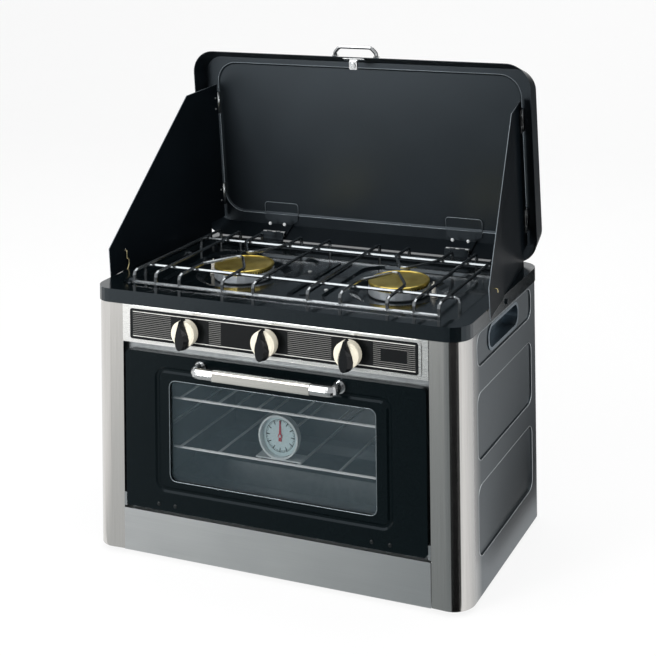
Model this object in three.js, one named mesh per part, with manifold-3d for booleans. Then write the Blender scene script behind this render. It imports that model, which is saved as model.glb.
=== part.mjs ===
// Camping stove with oven: two hob burners under a folding lid with side windshields,
// over a small gas oven. X runs to the right, Y to the back and Z up, in millimetres.
// The front face is at y = 0 and the base at z = 0 until the last lines move the origin
// under the middle of the whole stove.
import * as THREE from "three";
import { mergeVertices } from "three/addons/utils/BufferGeometryUtils.js";
import Module from "manifold-3d";

const wasm = await Module();
wasm.setup();

// Sheet metal, shared gaps and the overrun that every cut uses
const sheet = 1;
const seatGap = 0.3;
const cutOverrun = 2;
const weldDepth = 0.8;

// Outer body
const bodyWidth = 540;
const bodyDepth = 300;
const frontCornerRadius = 27.7;
const rearCornerRadius = 27;
const openingHalfWidth = 222;
const rearFlangeWidth = 18;

// Side wall panels and their dimples
const panelFront = 42;
const panelBack = bodyDepth - panelFront;
const panelPress = 1.8;
const panelCornerRadius = 14;
const lowPanelBottom = 48;
const lowPanelTop = 137;
const midPanelBottom = 167;
const midPanelTop = 252;
const topPanelBottom = 284;
const topPanelTop = 326;

// Carrying cups in the side walls
const cupLength = 113;
const cupMiddleY = 146.5;
const cupFront = cupMiddleY - cupLength / 2;
const cupBack = cupMiddleY + cupLength / 2;
const cupBottom = 293;
const cupTop = 320;
const cupDepth = 20;
const cupWall = 1.2;
const cupFlange = 3;
const cupCornerRadius = 12;
const cupScrewRadius = 2.2;

// Back panel vents
const ventWidth = 34;
const ventHeight = 5;
const ventPitch = 46;
const ventRowRise = 14;
const ventLowRow = 92;
const ventHighRow = 282;
const ventColumns = 6;
const ventRows = 2;
const backPanelLap = 16;

// Base, kick panel and feet
const baseFlange = 12;
const kickTop = 55.8;
const kickLipDepth = 12;
const kickReturnDepth = 10;
const footHeight = 6.5;
const footRadius = 9;
const footTopRadius = 11;
const footX = 203;
const footInset = 24;
const footFrontY = footInset;
const footBackY = bodyDepth - footInset;
const dimpleX = 94;
const dimpleRadius = 7;
const dimpleDepth = 3;

// Hob
const rimTop = 346.9;
const rimBottom = 328.6;
const rimOverhang = 1.1;
const hobSheet = 0.8;
const rimBandSide = 24;
const rimBandFront = 21;
const rimBandBack = 24;
const recessRadius = 22;
const recessFloor = 341;
const recessDraft = 5;
const basinInner = 34;
const basinOuter = 211;
const basinFront = 60;
const basinBack = 237;
const basinRadius = 30;
const basinDraft = 4;
const basinFloor = 338;
const beadX = 9;
const beadHalfWidth = 4;
const beadFront = 73;
const beadBack = 228;
const beadRise = 1.6;
const wellRadius = 68;
const wellFloorRadius = 56;
const wellFloor = 333.5;
const burnerX = 119.5;
const burnerY = 148;
const rimNutY = 154;
const rimNutZ = 336;
const rimNutRadius = 4;
const rimNutHeight = 2.6;

// Burners and igniters
const burnerCupRadius = 42;
const burnerNeckRadius = 21;
const burnerNeckDrop = 20;
const burnerCupTop = 345.4;
const burnerCupFloor = 340;
const burnerCupWall = 2;
const capRadius = 42;
const capTop = 352.6;
const capEdge = 1.6;
const capDish = 1.2;
const capSkirtRadius = 38;
const capFlangeBottom = 349;
const capPortWidth = 2.4;
const capPortCount = 16;
const igniterOffset = 50.5;
const igniterRadius = 3;
const igniterFootRadius = 4.8;
const igniterFootHeight = 3;
const igniterShoulder = 4.5;
const igniterTop = 350;
const igniterTipRadius = 0.9;
const igniterTipRise = 4;

// Pan grate
const grateWireRadius = 2.3;
const grateTop = 366;
const grateWireX = [40.1, 190.1, 223.9];
const grateFingerX = [86.8, 153.1];
const grateFrontY = 31.7;
const grateRearInset = 39.2;
const grateRearY = bodyDepth - grateRearInset;
const grateLowRail = 348.7;
const grateLowRailHalfWidth = 226;
const grateFingerFrontBend = 91;
const grateFingerRearBend = 211;
const grateFrontTip = 138;
const grateRearTip = 163;
const grateTipHalfWidth = 3.5;
const grateRailFrontY = 75;
const grateRailRearY = 222;
const grateRailHalfWidth = 235;
const grateBend = 6;

// Control panel, fascia, knobs and valves
const controlBottom = 278.2;
const knobX = 118;
const knobDrop = 43.5;
const knobZ = rimTop - knobDrop;
const fasciaHalfWidth = 209;
const fasciaBelowKnobs = 19.4;
const fasciaAboveKnobs = 20.6;
const fasciaRadius = 3;
const fasciaThickness = 0.8;
const fasciaFrameWidth = 3.5;
const fasciaFrameRise = 1.4;
const controlReturnDepth = 14;
const knobNeckRadius = 12.9;
const knobNeckDepth = 5.6;
const knobDialRadius = 17.4;
const knobDialFaceRadius = 14.5;
const knobDialDepth = 15.6;
const knobDialRise = 18.6;
const knobGripSeat = 10;
const knobGripHalfLength = 20.2;
const knobGripHalfWidth = 10.5;
const knobCrestShare = 0.6;
const knobGripFront = 25;
const knobGripRidge = 3.2;
const stemRadius = 3;
const stemDepth = 17;
const valveRadius = 9;
const valveLength = 30;
const valveHoleRadius = 6;

// Gas pipes
const manifoldRadius = 6;
const manifoldLeft = 132;
const inletX = 200;
const inletReach = 12;
const inletNutRadius = 9;
const inletNutLength = 8;
const pipeBend = 12;
const feedRadius = 3.4;
const feedZ = 324;
const ovenFeedX = 238;
const ovenFeedY = 21;
const ovenFeedZ = 271;

// Oven box
const linerHalfWidth = 208;
const linerBottom = 66;
const linerTop = 265;
const linerBackInset = 28;
const linerBack = bodyDepth - linerBackInset;
const bulkheadY = 11.3;
const runnerWidth = 10;
const runnerFront = 18;
const runnerBackGap = 10;
const runnerBack = linerBack - runnerBackGap;
const lowRackZ = 139;
const highRackZ = 204;
const rackWireRadius = 1.7;
const rackFront = 20;
const rackBackGap = 14;
const rackBack = linerBack - rackBackGap;
const rackSideX = 203;
const rackPitch = 58.7;
const rackWirePairs = 3;
const rackStopRise = 7;

// Oven burner and flame spreader
const ovenBurnerRadius = 8;
const ovenBurnerY = 140;
const ovenBurnerZ = 80;
const ovenBurnerLeft = 160;
const ovenBurnerRight = 188;
const ovenPortWidth = 2.4;
const ovenPortPitch = 29;
const spreaderHalfWidth = 172;
const spreaderFront = 96;
const spreaderBack = 186;
const spreaderTop = 96;
const spreaderRidge = 104;

// Oven door
const doorHalfWidth = 218;
const doorBottom = 60;
const doorTop = 268;
const doorRadius = 6;
const doorDepth = 7;
const doorAxisY = 4;
const doorAxisZ = 64;
const windowHalfWidth = 150;
const windowBottom = 101;
const windowTop = 234;
const windowRadius = 9;
const windowLip = 3.7;
const grooveHalfWidth = 172.5;
const grooveBottom = 85;
const grooveTop = 251;
const grooveWidth = 8;
const grooveRadius = 16;
const groovePress = 1.8;
const grooveSlope = 2.6;
const glassMargin = 9;
const glassThickness = 3;
const innerFrameThickness = 3;
const innerFrameMargin = 3;
const hingePinRadius = 1.6;
const hingeTabHeight = 18;
const hingeTabBottom = 58;

// Door handle
const handleBarHalf = 70;
const handleBottom = 249.6;
const handleBarTop = 264;
const handleFront = 26;
const handleBarDepth = 9;
const bracketX = 101;
const bracketRadius = 5.2;
const bracketBend = 17;
const bracketTallShare = 1.35;
const bracketFlangeRadius = 8.5;
const bracketFlange = 2;

// Thermometer on the lower rack
const dialCaseRadius = 29;
const dialCaseY = 22;
const dialCaseDepth = 9;
const dialCaseZ = 170;
const dialRim = 2.5;
const dialThickness = 1;
const dialHubRadius = 1.6;
const needleLength = 20;
const needleWidth = 2.2;
const needleThickness = 0.8;
const standWidth = 33;
const standDepth = 22;
const standSheet = 1.6;
const standNeck = 8;

// Lid, measured in its own frame from the rim plane and the lower rim edge line
const lidLean = 5.7;
const lidSetback = 11.9;
const lidOriginY = bodyDepth - lidSetback;
const lidOriginZ = 368.2;
const lidRimHalfWidth = 271.6;
const lidBackHalfWidth = 269.3;
const lidRimBottom = -20;
const lidRimTop = 267;
const lidBackBottom = -9.3;
const lidBackTop = 252.7;
const lidDepth = 31.6;
const lidRadius = 35;
const lidBackRadius = 30;
const lidPanelHalfWidth = 247.7;
const lidPanelBottom = 7.5;
const lidPanelTop = 243.5;
const lidPanelRadius = 32;
const lidPanelPress = 1.5;
const lidPanelDraft = 3;
const lidHingeV = -12;
const lidHingeN = -3;
const lidKnuckleRadius = 3.2;
const lidKnuckleInner = 131;
const lidKnuckleOuter = 168;
const lidKnuckles = 5;
const lidLeafInner = 121.5;
const lidLeafOuter = 178.5;
const lidLeafTop = 26;
const lidLeafCorner = 5;
const lidLeafTaperLow = -6;
const lidLeafTaperHigh = 1;
const lidStrapSetback = 13.1;
const lidStrapY = bodyDepth - lidStrapSetback;
const lidFootDepth = 8;

// Lid handle and latch
const bailHalfWidth = 33.3;
const bailCornerX = 25;
const bailTop = 279.5;
const bailN = -10;
const bailRadius = 2.9;
const bailFootRadius = 5;
const bailFootHeight = 1.6;
const latchV = 254.7;
const latchFront = 1;
const latchPlateDepth = 10;
const latchHalfWidth = 6.4;
const latchBottom = 248.8;
const latchPlateHalfWidth = 17;
const latchThickness = 1.6;
const latchScrewRadius = 4;
const latchScrewHeight = 2;

// Windshields, measured along and out from their hinge line
const shieldAxisU = 248.4;
const shieldAxisN = -28;
const shieldSplay = 7.5;
const shieldThickness = 0.8;
const shieldTop = 208.6;
const shieldTopReach = 75;
const shieldCorner = 36.6;
const shieldReach = 260.3;
const shieldLow = -4;
const shieldRootLow = -1;
const shieldHingeOffset = 2.6;
const shieldKnuckleRadius = 2.3;
const shieldHingeLow = 18;
const shieldHingeHigh = 163;
const shieldHingeLength = 33;
const shieldLeafReach = 16;
const hookRadius = 1.1;
const hookReach = 228;
const hookHoleV = 24;
const hookDrop = 30;
const hookEnd = 5;
const hookJog = 4.5;
const hookJogShares = [0.36, 0.44, 0.7];
const hookFoot = 3.6;
const hookHoleRadius = 1.5;

// Rounding of arcs, in segments to a quarter turn or a half circle
const cornerSteps = 3;
const finestSteps = 7;
const roundSides = 12;
const wideSides = 24;
const wireSides = 6;
const basinSteps = 4;
const bendSteps = 2;
const elbowSteps = 6;

// Looks of each kind of surface
function surface(color, roughness, metalness) {
  return new THREE.MeshStandardMaterial({ color, roughness, metalness });
}
const stainless = surface("#a9a8a4", 0.34, 1);
const sidePaint = surface("#4d575d", 0.45, 0.6);
const enamel = surface("#0c1110", 0.18, 0.1);
const blackPaint = surface("#14181b", 0.4, 0.3);
const zincSteel = surface("#8c8f8c", 0.5, 1);
const chrome = surface("#c9ccce", 0.14, 1);
const brass = surface("#b59a3a", 0.32, 1);
const creamPlastic = surface("#d8d2bf", 0.4, 0);
const blackPlastic = surface("#101214", 0.35, 0);
const rubber = surface("#151515", 0.85, 0);
const ceramic = surface("#e8e5dc", 0.5, 0);
const windowGlass = surface("#3b464a", 0.05, 0);
const dialFace = surface("#b5c4c4", 0.4, 0);
const pointerRed = surface("#c03040", 0.45, 0);
const handleSteel = surface("#e5e2dc", 0.22, 1);
const hookWire = surface("#c8b878", 0.3, 1);

// Helpers: outlines
const halfBody = bodyWidth / 2;

function roundRect(left, bottom, right, top, radius) {
  const outline = new THREE.Shape();
  outline.moveTo(left + radius, bottom);
  outline.lineTo(right - radius, bottom);
  outline.absarc(right - radius, bottom + radius, radius, -Math.PI / 2, 0);
  outline.absarc(right - radius, top - radius, radius, 0, Math.PI / 2);
  outline.absarc(left + radius, top - radius, radius, Math.PI / 2, Math.PI);
  outline.absarc(left + radius, bottom + radius, radius, Math.PI, (Math.PI * 3) / 2);
  return outline;
}

function circle(radius, x = 0, y = 0, sides = roundSides) {
  const corners = Array.from({ length: sides }, (_, i) => {
    const turn = (i * Math.PI * 2) / sides;
    return [x + radius * Math.cos(turn), y + radius * Math.sin(turn)];
  });
  return polygon(corners);
}

// A hole whose flat sides stay clear of a round piece of the given radius
function holeFor(radius, x = 0, y = 0, sides = roundSides) {
  return circle((radius + seatGap) / Math.cos(Math.PI / sides), x, y, sides);
}

function polygon(points) {
  return new THREE.Shape(points.map(([x, y]) => new THREE.Vector2(x, y)));
}

// Helpers: bodies from outlines
function plate(outline, thickness, steps = cornerSteps) {
  return new THREE.ExtrudeGeometry(outline, { depth: thickness, bevelEnabled: false, curveSegments: steps });
}

function block(x0, x1, y0, y1, z0, z1) {
  const geometry = new THREE.BoxGeometry(x1 - x0, y1 - y0, z1 - z0);
  return geometry.translate((x0 + x1) / 2, (y0 + y1) / 2, (z0 + z1) / 2);
}

function turned(profile, sides) {
  const area = profile.reduce((sum, [r, h], i) => {
    const [nextR, nextH] = profile[(i + 1) % profile.length];
    return sum + r * nextH - nextR * h;
  }, 0);
  const ordered = area > 0 ? profile : [...profile].reverse();
  const points = ordered.map(([r, h]) => new THREE.Vector2(r, h));
  return new THREE.LatheGeometry(points, sides).rotateX(Math.PI / 2);
}

// A closed skin through rings of equal length, with a flat end on the first and the last
function loft(rings) {
  const count = rings[0].length;
  const flat = rings.flatMap((ring) => ring.flatMap((p) => [p.x, p.y, p.z]));
  const faces = [];
  for (let r = 0; r + 1 < rings.length; r += 1) {
    for (let i = 0; i < count; i += 1) {
      const a = r * count + i;
      const b = r * count + ((i + 1) % count);
      faces.push(a, b, b + count, a, b + count, a + count);
    }
  }
  const caps = THREE.ShapeUtils.triangulateShape(
    rings[0].map((p) => new THREE.Vector2(p.x, p.y)),
    [],
  );
  const last = (rings.length - 1) * count;
  caps.forEach(([a, b, c]) => faces.push(a, c, b, last + a, last + b, last + c));
  const geometry = new THREE.BufferGeometry();
  geometry.setAttribute("position", new THREE.Float32BufferAttribute(flat, 3));
  return geometry.setIndex(faces);
}

function ringAt(outline, height, steps = cornerSteps) {
  const points = outline.extractPoints(steps).shape;
  const first = points[0];
  const last = points[points.length - 1];
  const open = first.distanceTo(last) < seatGap ? points.slice(0, -1) : points;
  return open.map((p) => new THREE.Vector3(p.x, p.y, height));
}

// A path through hand-picked corners with rounded bends, sampled only where it turns
const trimShare = 0.45;

class BentPath extends THREE.Curve {
  constructor(corners, bend, steps) {
    super();
    this.stations = [corners[0].clone()];
    for (let i = 1; i + 1 < corners.length; i += 1) {
      const toLast = corners[i - 1].clone().sub(corners[i]);
      const toNext = corners[i + 1].clone().sub(corners[i]);
      const trim = Math.min(bend, toLast.length() * trimShare, toNext.length() * trimShare);
      const start = corners[i].clone().add(toLast.setLength(trim));
      const end = corners[i].clone().add(toNext.setLength(trim));
      const arc = new THREE.QuadraticBezierCurve3(start, corners[i].clone(), end);
      this.stations.push(...arc.getPoints(steps));
    }
    this.stations.push(corners[corners.length - 1].clone());
  }

  getPointAt(share) {
    return this.stations[Math.round(share * (this.stations.length - 1))].clone();
  }

  getTangentAt(share) {
    const last = this.stations.length - 1;
    const i = Math.round(share * last);
    const before = this.stations[Math.max(i - 1, 0)];
    const after = this.stations[Math.min(i + 1, last)];
    const tangent = new THREE.Vector3();
    if (i > 0) tangent.add(this.stations[i].clone().sub(before).normalize());
    if (i < last) tangent.add(after.clone().sub(this.stations[i]).normalize());
    return tangent.normalize();
  }
}

function rod(corners, radius, bend = 0, sides = wireSides, steps = bendSteps) {
  const path = new BentPath(
    corners.map(([x, y, z]) => new THREE.Vector3(x, y, z)),
    bend,
    steps,
  );
  return new THREE.ExtrudeGeometry(circle(radius, 0, 0, sides), {
    steps: path.stations.length - 1,
    extrudePath: path,
  });
}

// Helpers: turning outlines drawn flat to the face that they belong to
function toFront(geometry, y = 0) {
  return geometry.rotateX(Math.PI / 2).translate(0, y, 0);
}

const sideways = new THREE.Matrix4().makeBasis(
  new THREE.Vector3(0, 1, 0),
  new THREE.Vector3(0, 0, 1),
  new THREE.Vector3(1, 0, 0),
);

function toSide(geometry, x = 0) {
  return geometry.applyMatrix4(sideways).translate(x, 0, 0);
}

function frontPlate(outline, front, back, steps) {
  return toFront(plate(outline, back - front, steps), back);
}

function sidePlate(outline, inner, outer, steps) {
  return toSide(plate(outline, outer - inner, steps), inner);
}

function levelPlate(outline, bottom, top, steps) {
  return plate(outline, top - bottom, steps).translate(0, 0, bottom);
}

// Helpers: joining and cutting
function solid(geometry) {
  if (!geometry.isBufferGeometry) return geometry;
  const plain = geometry.clone();
  plain.deleteAttribute("normal");
  plain.deleteAttribute("uv");
  const merged = mergeVertices(plain);
  return new wasm.Manifold(
    new wasm.Mesh({
      numProp: 3,
      vertProperties: merged.attributes.position.array,
      triVerts: new Uint32Array(merged.index.array),
    }),
  );
}

function join(...pieces) {
  return pieces.map(solid).reduce((whole, piece) => whole.add(piece));
}

function cut(base, ...tools) {
  return tools.map(solid).reduce((whole, tool) => whole.subtract(tool), solid(base));
}

function meet(first, second) {
  return solid(first).intersect(solid(second));
}

function geometryOf(piece) {
  if (piece.isBufferGeometry) return piece;
  const made = piece.getMesh();
  const geometry = new THREE.BufferGeometry();
  geometry.setAttribute("position", new THREE.BufferAttribute(made.vertProperties, 3));
  geometry.setIndex(new THREE.BufferAttribute(made.triVerts, 1));
  geometry.computeVertexNormals();
  return geometry;
}

const stove = new THREE.Group();

function part(name, piece, material, parent = stove) {
  const mesh = new THREE.Mesh(geometryOf(piece), material);
  mesh.name = name;
  parent.add(mesh);
  return mesh;
}

// Left pieces are mirror images of right ones
const mirrorHalf = new THREE.Group();
mirrorHalf.scale.x = -1;
stove.add(mirrorHalf);
const halves = [
  ["right", stove],
  ["left", mirrorHalf],
];

// Shared heights
const wallTop = rimTop - hobSheet - seatGap;

// Side wall: one sheet from the front stile round both corners to the rear flange
function wrapOutline() {
  const front = halfBody - frontCornerRadius;
  const rear = halfBody - rearCornerRadius;
  const rearY = bodyDepth - rearCornerRadius;
  const outline = new THREE.Shape();
  outline.moveTo(openingHalfWidth, 0);
  outline.absarc(front, frontCornerRadius, frontCornerRadius, -Math.PI / 2, 0);
  outline.absarc(rear, rearY, rearCornerRadius, 0, Math.PI / 2);
  outline.lineTo(rear - rearFlangeWidth, bodyDepth);
  outline.lineTo(rear - rearFlangeWidth, bodyDepth - sheet);
  outline.absarc(rear, rearY, rearCornerRadius - sheet, Math.PI / 2, 0, true);
  outline.absarc(front, frontCornerRadius, frontCornerRadius - sheet, 0, -Math.PI / 2, true);
  outline.lineTo(openingHalfWidth, sheet);
  return outline;
}

function cupOutline(margin) {
  return roundRect(
    cupFront - margin,
    cupBottom - margin,
    cupBack + margin,
    cupTop + margin,
    cupCornerRadius + margin,
  );
}

function sideWrap() {
  const wall = levelPlate(wrapOutline(), 0, wallTop, finestSteps);
  const panels = [
    [lowPanelBottom, lowPanelTop],
    [midPanelBottom, midPanelTop],
    [topPanelBottom, topPanelTop],
  ];
  const pads = panels.map(([bottom, top]) =>
    sidePlate(
      roundRect(panelFront, bottom, panelBack, top, panelCornerRadius),
      halfBody - sheet - panelPress,
      halfBody - sheet + weldDepth,
    ),
  );
  const pockets = panels.map(([bottom, top]) =>
    sidePlate(
      roundRect(
        panelFront + sheet,
        bottom + sheet,
        panelBack - sheet,
        top - sheet,
        panelCornerRadius - sheet,
      ),
      halfBody - panelPress,
      halfBody + cutOverrun,
    ),
  );
  const opening = sidePlate(
    cupOutline(cupWall + seatGap),
    halfBody - sheet - panelPress - cutOverrun,
    halfBody + cutOverrun,
  );
  return cut(join(wall, ...pads), ...pockets, opening);
}

// Carrying cup: a pressed hollow with a flange that lies on the side wall's top panel
function carryCup() {
  const seat = halfBody - panelPress + seatGap;
  const shell = sidePlate(cupOutline(cupWall), seat - cupDepth, seat + cupWall);
  const flange = sidePlate(cupOutline(cupWall + cupFlange), seat, seat + cupWall);
  const hollow = sidePlate(cupOutline(0), seat - cupDepth + cupWall, seat + cupWall + cutOverrun);
  const screw = toSide(plate(circle(cupScrewRadius), cupWall * 2), seat - cupDepth + cupWall - weldDepth);
  screw.translate(0, cupBack - cupCornerRadius * 2, (cupBottom + cupTop) / 2);
  return join(cut(join(shell, flange), hollow), screw);
}

for (const [side, half] of halves) {
  part(side + "_side_wrap", sideWrap(), sidePaint, half);
  part(side + "_carry_cup", carryCup(), zincSteel, half);
}

// Back panel with rows of vents and a hole for the gas inlet
const backPanelY = bodyDepth - sheet - seatGap;

function backPanel() {
  const halfWidth = halfBody - rearCornerRadius - rearFlangeWidth + backPanelLap;
  const panel = block(-halfWidth, halfWidth, backPanelY - sheet, backPanelY, baseFlange + seatGap, wallTop);
  const vents = [];
  for (const row of [ventLowRow, ventHighRow]) {
    for (let r = 0; r < ventRows; r += 1) {
      for (let c = 0; c < ventColumns; c += 1) {
        const x = (c - (ventColumns - 1) / 2) * ventPitch;
        const z = row + r * ventRowRise;
        const near = backPanelY - sheet - cutOverrun;
        const far = backPanelY + cutOverrun;
        vents.push(block(x - ventWidth / 2, x + ventWidth / 2, near, far, z, z + ventHeight));
      }
    }
  }
  const inlet = frontPlate(
    holeFor(manifoldRadius, inletX, knobZ),
    backPanelY - sheet - cutOverrun,
    backPanelY + cutOverrun,
  );
  return cut(panel, ...vents, inlet);
}
part("back_panel", backPanel(), sidePaint);

// Base pan: a shallow tray inside the walls with pressed dimples under it
const baseInset = sheet + seatGap;

function baseOutline(inset) {
  return roundRect(
    inset - halfBody,
    kickReturnDepth + seatGap + inset - baseInset,
    halfBody - inset,
    backPanelY - sheet - seatGap - inset + baseInset,
    rearCornerRadius - inset,
  );
}

function basePan() {
  const tray = cut(
    levelPlate(baseOutline(baseInset), 0, baseFlange),
    levelPlate(baseOutline(baseInset + sheet), sheet, baseFlange + cutOverrun),
  );
  const dimples = [];
  for (const x of [-dimpleX, dimpleX]) {
    for (const y of [footFrontY, footBackY]) {
      const dimple = turned(
        [
          [0, -dimpleDepth],
          [dimpleRadius / 2, -dimpleDepth],
          [dimpleRadius, 0],
          [dimpleRadius, sheet / 2],
          [0, sheet / 2],
        ],
        finestSteps,
      );
      dimples.push(dimple.translate(x, y, 0));
    }
  }
  return join(tray, ...dimples);
}
part("base_pan", basePan(), zincSteel);

// Kick panel under the door, with a bright lip along its top
const panelHalf = openingHalfWidth - seatGap;

function kickPanel() {
  return join(
    block(-panelHalf, panelHalf, 0, sheet, 0, kickTop),
    block(-panelHalf, panelHalf, 0, kickLipDepth, kickTop - sheet, kickTop),
    block(-panelHalf, panelHalf, 0, kickReturnDepth, 0, sheet),
  );
}
part("kick_panel", kickPanel(), stainless);

// Rubber feet
const footProfile = [
  [0, -footHeight],
  [footRadius, -footHeight],
  [footTopRadius, -seatGap],
  [0, -seatGap],
];
for (const [side, half] of halves) {
  for (const [place, y] of [
    ["front", footFrontY],
    ["rear", footBackY],
  ]) {
    part(side + "_" + place + "_foot", turned(footProfile, roundSides).translate(footX, y, 0), rubber, half);
  }
}

// Hob: a pressed tray with a hanging rim and a drafted recess, two square basins in it,
// a round well in each basin and two long beads between them
function hobOutline(margin) {
  return roundRect(
    -halfBody - margin,
    -margin,
    halfBody + margin,
    bodyDepth + margin,
    rearCornerRadius + margin,
  );
}

function recessOutline(inset) {
  return roundRect(
    rimBandSide + inset - halfBody,
    rimBandFront + inset,
    halfBody - rimBandSide - inset,
    bodyDepth - rimBandBack - inset,
    recessRadius,
  );
}

function recess(drop, margin) {
  return loft([
    ringAt(recessOutline(recessDraft - margin), recessFloor - drop),
    ringAt(recessOutline(-margin), rimTop - drop),
    ringAt(recessOutline(-margin), rimTop - drop + hobSheet + cutOverrun),
  ]);
}

function basinOutline(side, inset) {
  const near = side > 0 ? basinInner : -basinOuter;
  const far = near + basinOuter - basinInner;
  return roundRect(near + inset, basinFront + inset, far - inset, basinBack - inset, basinRadius);
}

function basin(drop, margin, side) {
  return loft([
    ringAt(basinOutline(side, basinDraft - margin), basinFloor - drop, basinSteps),
    ringAt(basinOutline(side, -margin), recessFloor - drop, basinSteps),
    ringAt(basinOutline(side, -margin), recessFloor + weldDepth - drop, basinSteps),
  ]);
}

function bead(side, inset, bottom, top) {
  const outline = roundRect(
    side * beadX - beadHalfWidth + inset,
    beadFront + inset,
    side * beadX + beadHalfWidth - inset,
    beadBack - inset,
    beadHalfWidth - inset,
  );
  return levelPlate(outline, bottom, top);
}

function well(drop, margin, side) {
  const profile = [
    [0, wellFloor - drop],
    [wellFloorRadius + margin, wellFloor - drop],
    [wellRadius + margin, basinFloor - drop],
    [wellRadius + margin, basinFloor + weldDepth - drop],
    [0, basinFloor + weldDepth - drop],
  ];
  return turned(profile, wideSides).translate(side * burnerX, burnerY, 0);
}

function hobTray() {
  const cap = cut(
    levelPlate(hobOutline(rimOverhang), rimBottom, rimTop),
    levelPlate(hobOutline(rimOverhang - hobSheet), rimBottom - cutOverrun, rimTop - hobSheet),
  );
  const trim = block(-bodyWidth, bodyWidth, -bodyDepth, bodyDepth * 2, rimTop, rimTop * 2);
  const outerPan = cut(recess(hobSheet, hobSheet), trim);
  const underSheet = [-1, 1].flatMap((side) => [
    basin(hobSheet, hobSheet, side),
    well(hobSheet, hobSheet, side),
    bead(side, 0, recessFloor - hobSheet / 2, recessFloor + beadRise),
  ]);
  const overSheet = [-1, 1].flatMap((side) => [basin(0, 0, side), well(0, 0, side)]);
  const beadHollows = [-1, 1].map((side) =>
    bead(side, hobSheet, recessFloor - hobSheet - cutOverrun, recessFloor + beadRise - hobSheet),
  );
  const holes = [-1, 1].map((side) =>
    levelPlate(
      holeFor(burnerNeckRadius, side * burnerX, burnerY, wideSides),
      wellFloor - hobSheet - cutOverrun,
      wellFloor + cutOverrun,
    ),
  );
  const nuts = [-1, 1].map((side) => {
    const nut = toSide(plate(circle(rimNutRadius), rimNutHeight + weldDepth), 0);
    const rightStart = halfBody + rimOverhang - weldDepth;
    const leftStart = -halfBody - rimOverhang - rimNutHeight;
    return nut.translate(side > 0 ? rightStart : leftStart, rimNutY, rimNutZ);
  });
  const pan = cut(join(cap, outerPan), recess(0, 0));
  const tray = cut(join(pan, ...underSheet), ...overSheet, ...beadHollows, ...holes);
  return join(tray, ...nuts);
}
part("hob_tray", hobTray(), enamel);

// Burners: a cup that stands in the well, a brass cap with flame ports and an igniter beside it
function burnerCup() {
  const seat = wellFloor + seatGap;
  return turned(
    [
      [0, seat - burnerNeckDrop],
      [burnerNeckRadius, seat - burnerNeckDrop],
      [burnerNeckRadius, seat],
      [burnerCupRadius - burnerCupWall, seat],
      [burnerCupRadius, seat + burnerCupWall],
      [burnerCupRadius, burnerCupTop],
      [burnerCupRadius - burnerCupWall, burnerCupTop],
      [burnerCupRadius - burnerCupWall, burnerCupFloor],
      [0, burnerCupFloor],
    ],
    wideSides,
  );
}

function burnerCap() {
  const foot = burnerCupFloor + seatGap;
  const body = turned(
    [
      [0, foot],
      [capSkirtRadius, foot],
      [capSkirtRadius, capFlangeBottom],
      [capRadius, capFlangeBottom],
      [capRadius, capTop - capEdge / 2],
      [capRadius - capEdge, capTop],
      [capRadius - capEdge * 2, capTop - capDish],
      [0, capTop - capDish],
    ],
    wideSides,
  );
  const ports = [];
  for (let i = 0; i < capPortCount; i += 1) {
    const port = block(
      capSkirtRadius - capPortWidth,
      capSkirtRadius + cutOverrun,
      -capPortWidth / 2,
      capPortWidth / 2,
      burnerCupTop - capPortWidth,
      capFlangeBottom - capEdge / 2,
    );
    ports.push(port.rotateZ((i * Math.PI * 2) / capPortCount));
  }
  return cut(body, ...ports);
}

function igniter() {
  const foot = wellFloor + seatGap;
  return turned(
    [
      [0, foot],
      [igniterFootRadius, foot],
      [igniterFootRadius, foot + igniterFootHeight],
      [igniterRadius, foot + igniterShoulder],
      [igniterRadius, igniterTop],
      [igniterTipRadius, igniterTop],
      [igniterTipRadius, igniterTop + igniterTipRise],
      [0, igniterTop + igniterTipRise],
    ],
    finestSteps,
  );
}

for (const [side, half] of halves) {
  part(side + "_burner_cup", burnerCup(), zincSteel, half).position.set(burnerX, burnerY, 0);
  part(side + "_burner_cap", burnerCap(), brass, half).position.set(burnerX, burnerY, 0);
  part(side + "_igniter", igniter(), ceramic, half).position.set(burnerX + igniterOffset, burnerY, 0);
}

// Pan grate: long wires with bent legs, a bent pair of fingers in front of and behind each
// burner, two low rails and two cross rails
const grateWireZ = grateTop - grateWireRadius;
const grateRailZ = grateWireZ - grateWireRadius * 2 + weldDepth;
const grateFoot = recessFloor + seatGap;

function grateHalf(side) {
  const wires = grateWireX.map((x) =>
    rod(
      [
        [side * x, grateFrontY, grateFoot],
        [side * x, grateFrontY, grateWireZ],
        [side * x, grateRearY, grateWireZ],
        [side * x, grateRearY, grateFoot],
      ],
      grateWireRadius,
      grateBend,
    ),
  );
  const [innerX, outerX] = grateFingerX;
  const fingers = [
    [grateFrontY, grateFingerFrontBend, grateFrontTip],
    [grateRearY, grateFingerRearBend, grateRearTip],
  ].map(([legY, bendY, tipY]) =>
    rod(
      [
        [side * innerX, legY, grateLowRail],
        [side * innerX, legY, grateWireZ],
        [side * innerX, bendY, grateWireZ],
        [side * (burnerX - grateTipHalfWidth), tipY, grateWireZ],
        [side * (burnerX + grateTipHalfWidth), tipY, grateWireZ],
        [side * outerX, bendY, grateWireZ],
        [side * outerX, legY, grateWireZ],
        [side * outerX, legY, grateLowRail],
      ],
      grateWireRadius,
      grateBend,
    ),
  );
  return [...wires, ...fingers];
}

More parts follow.
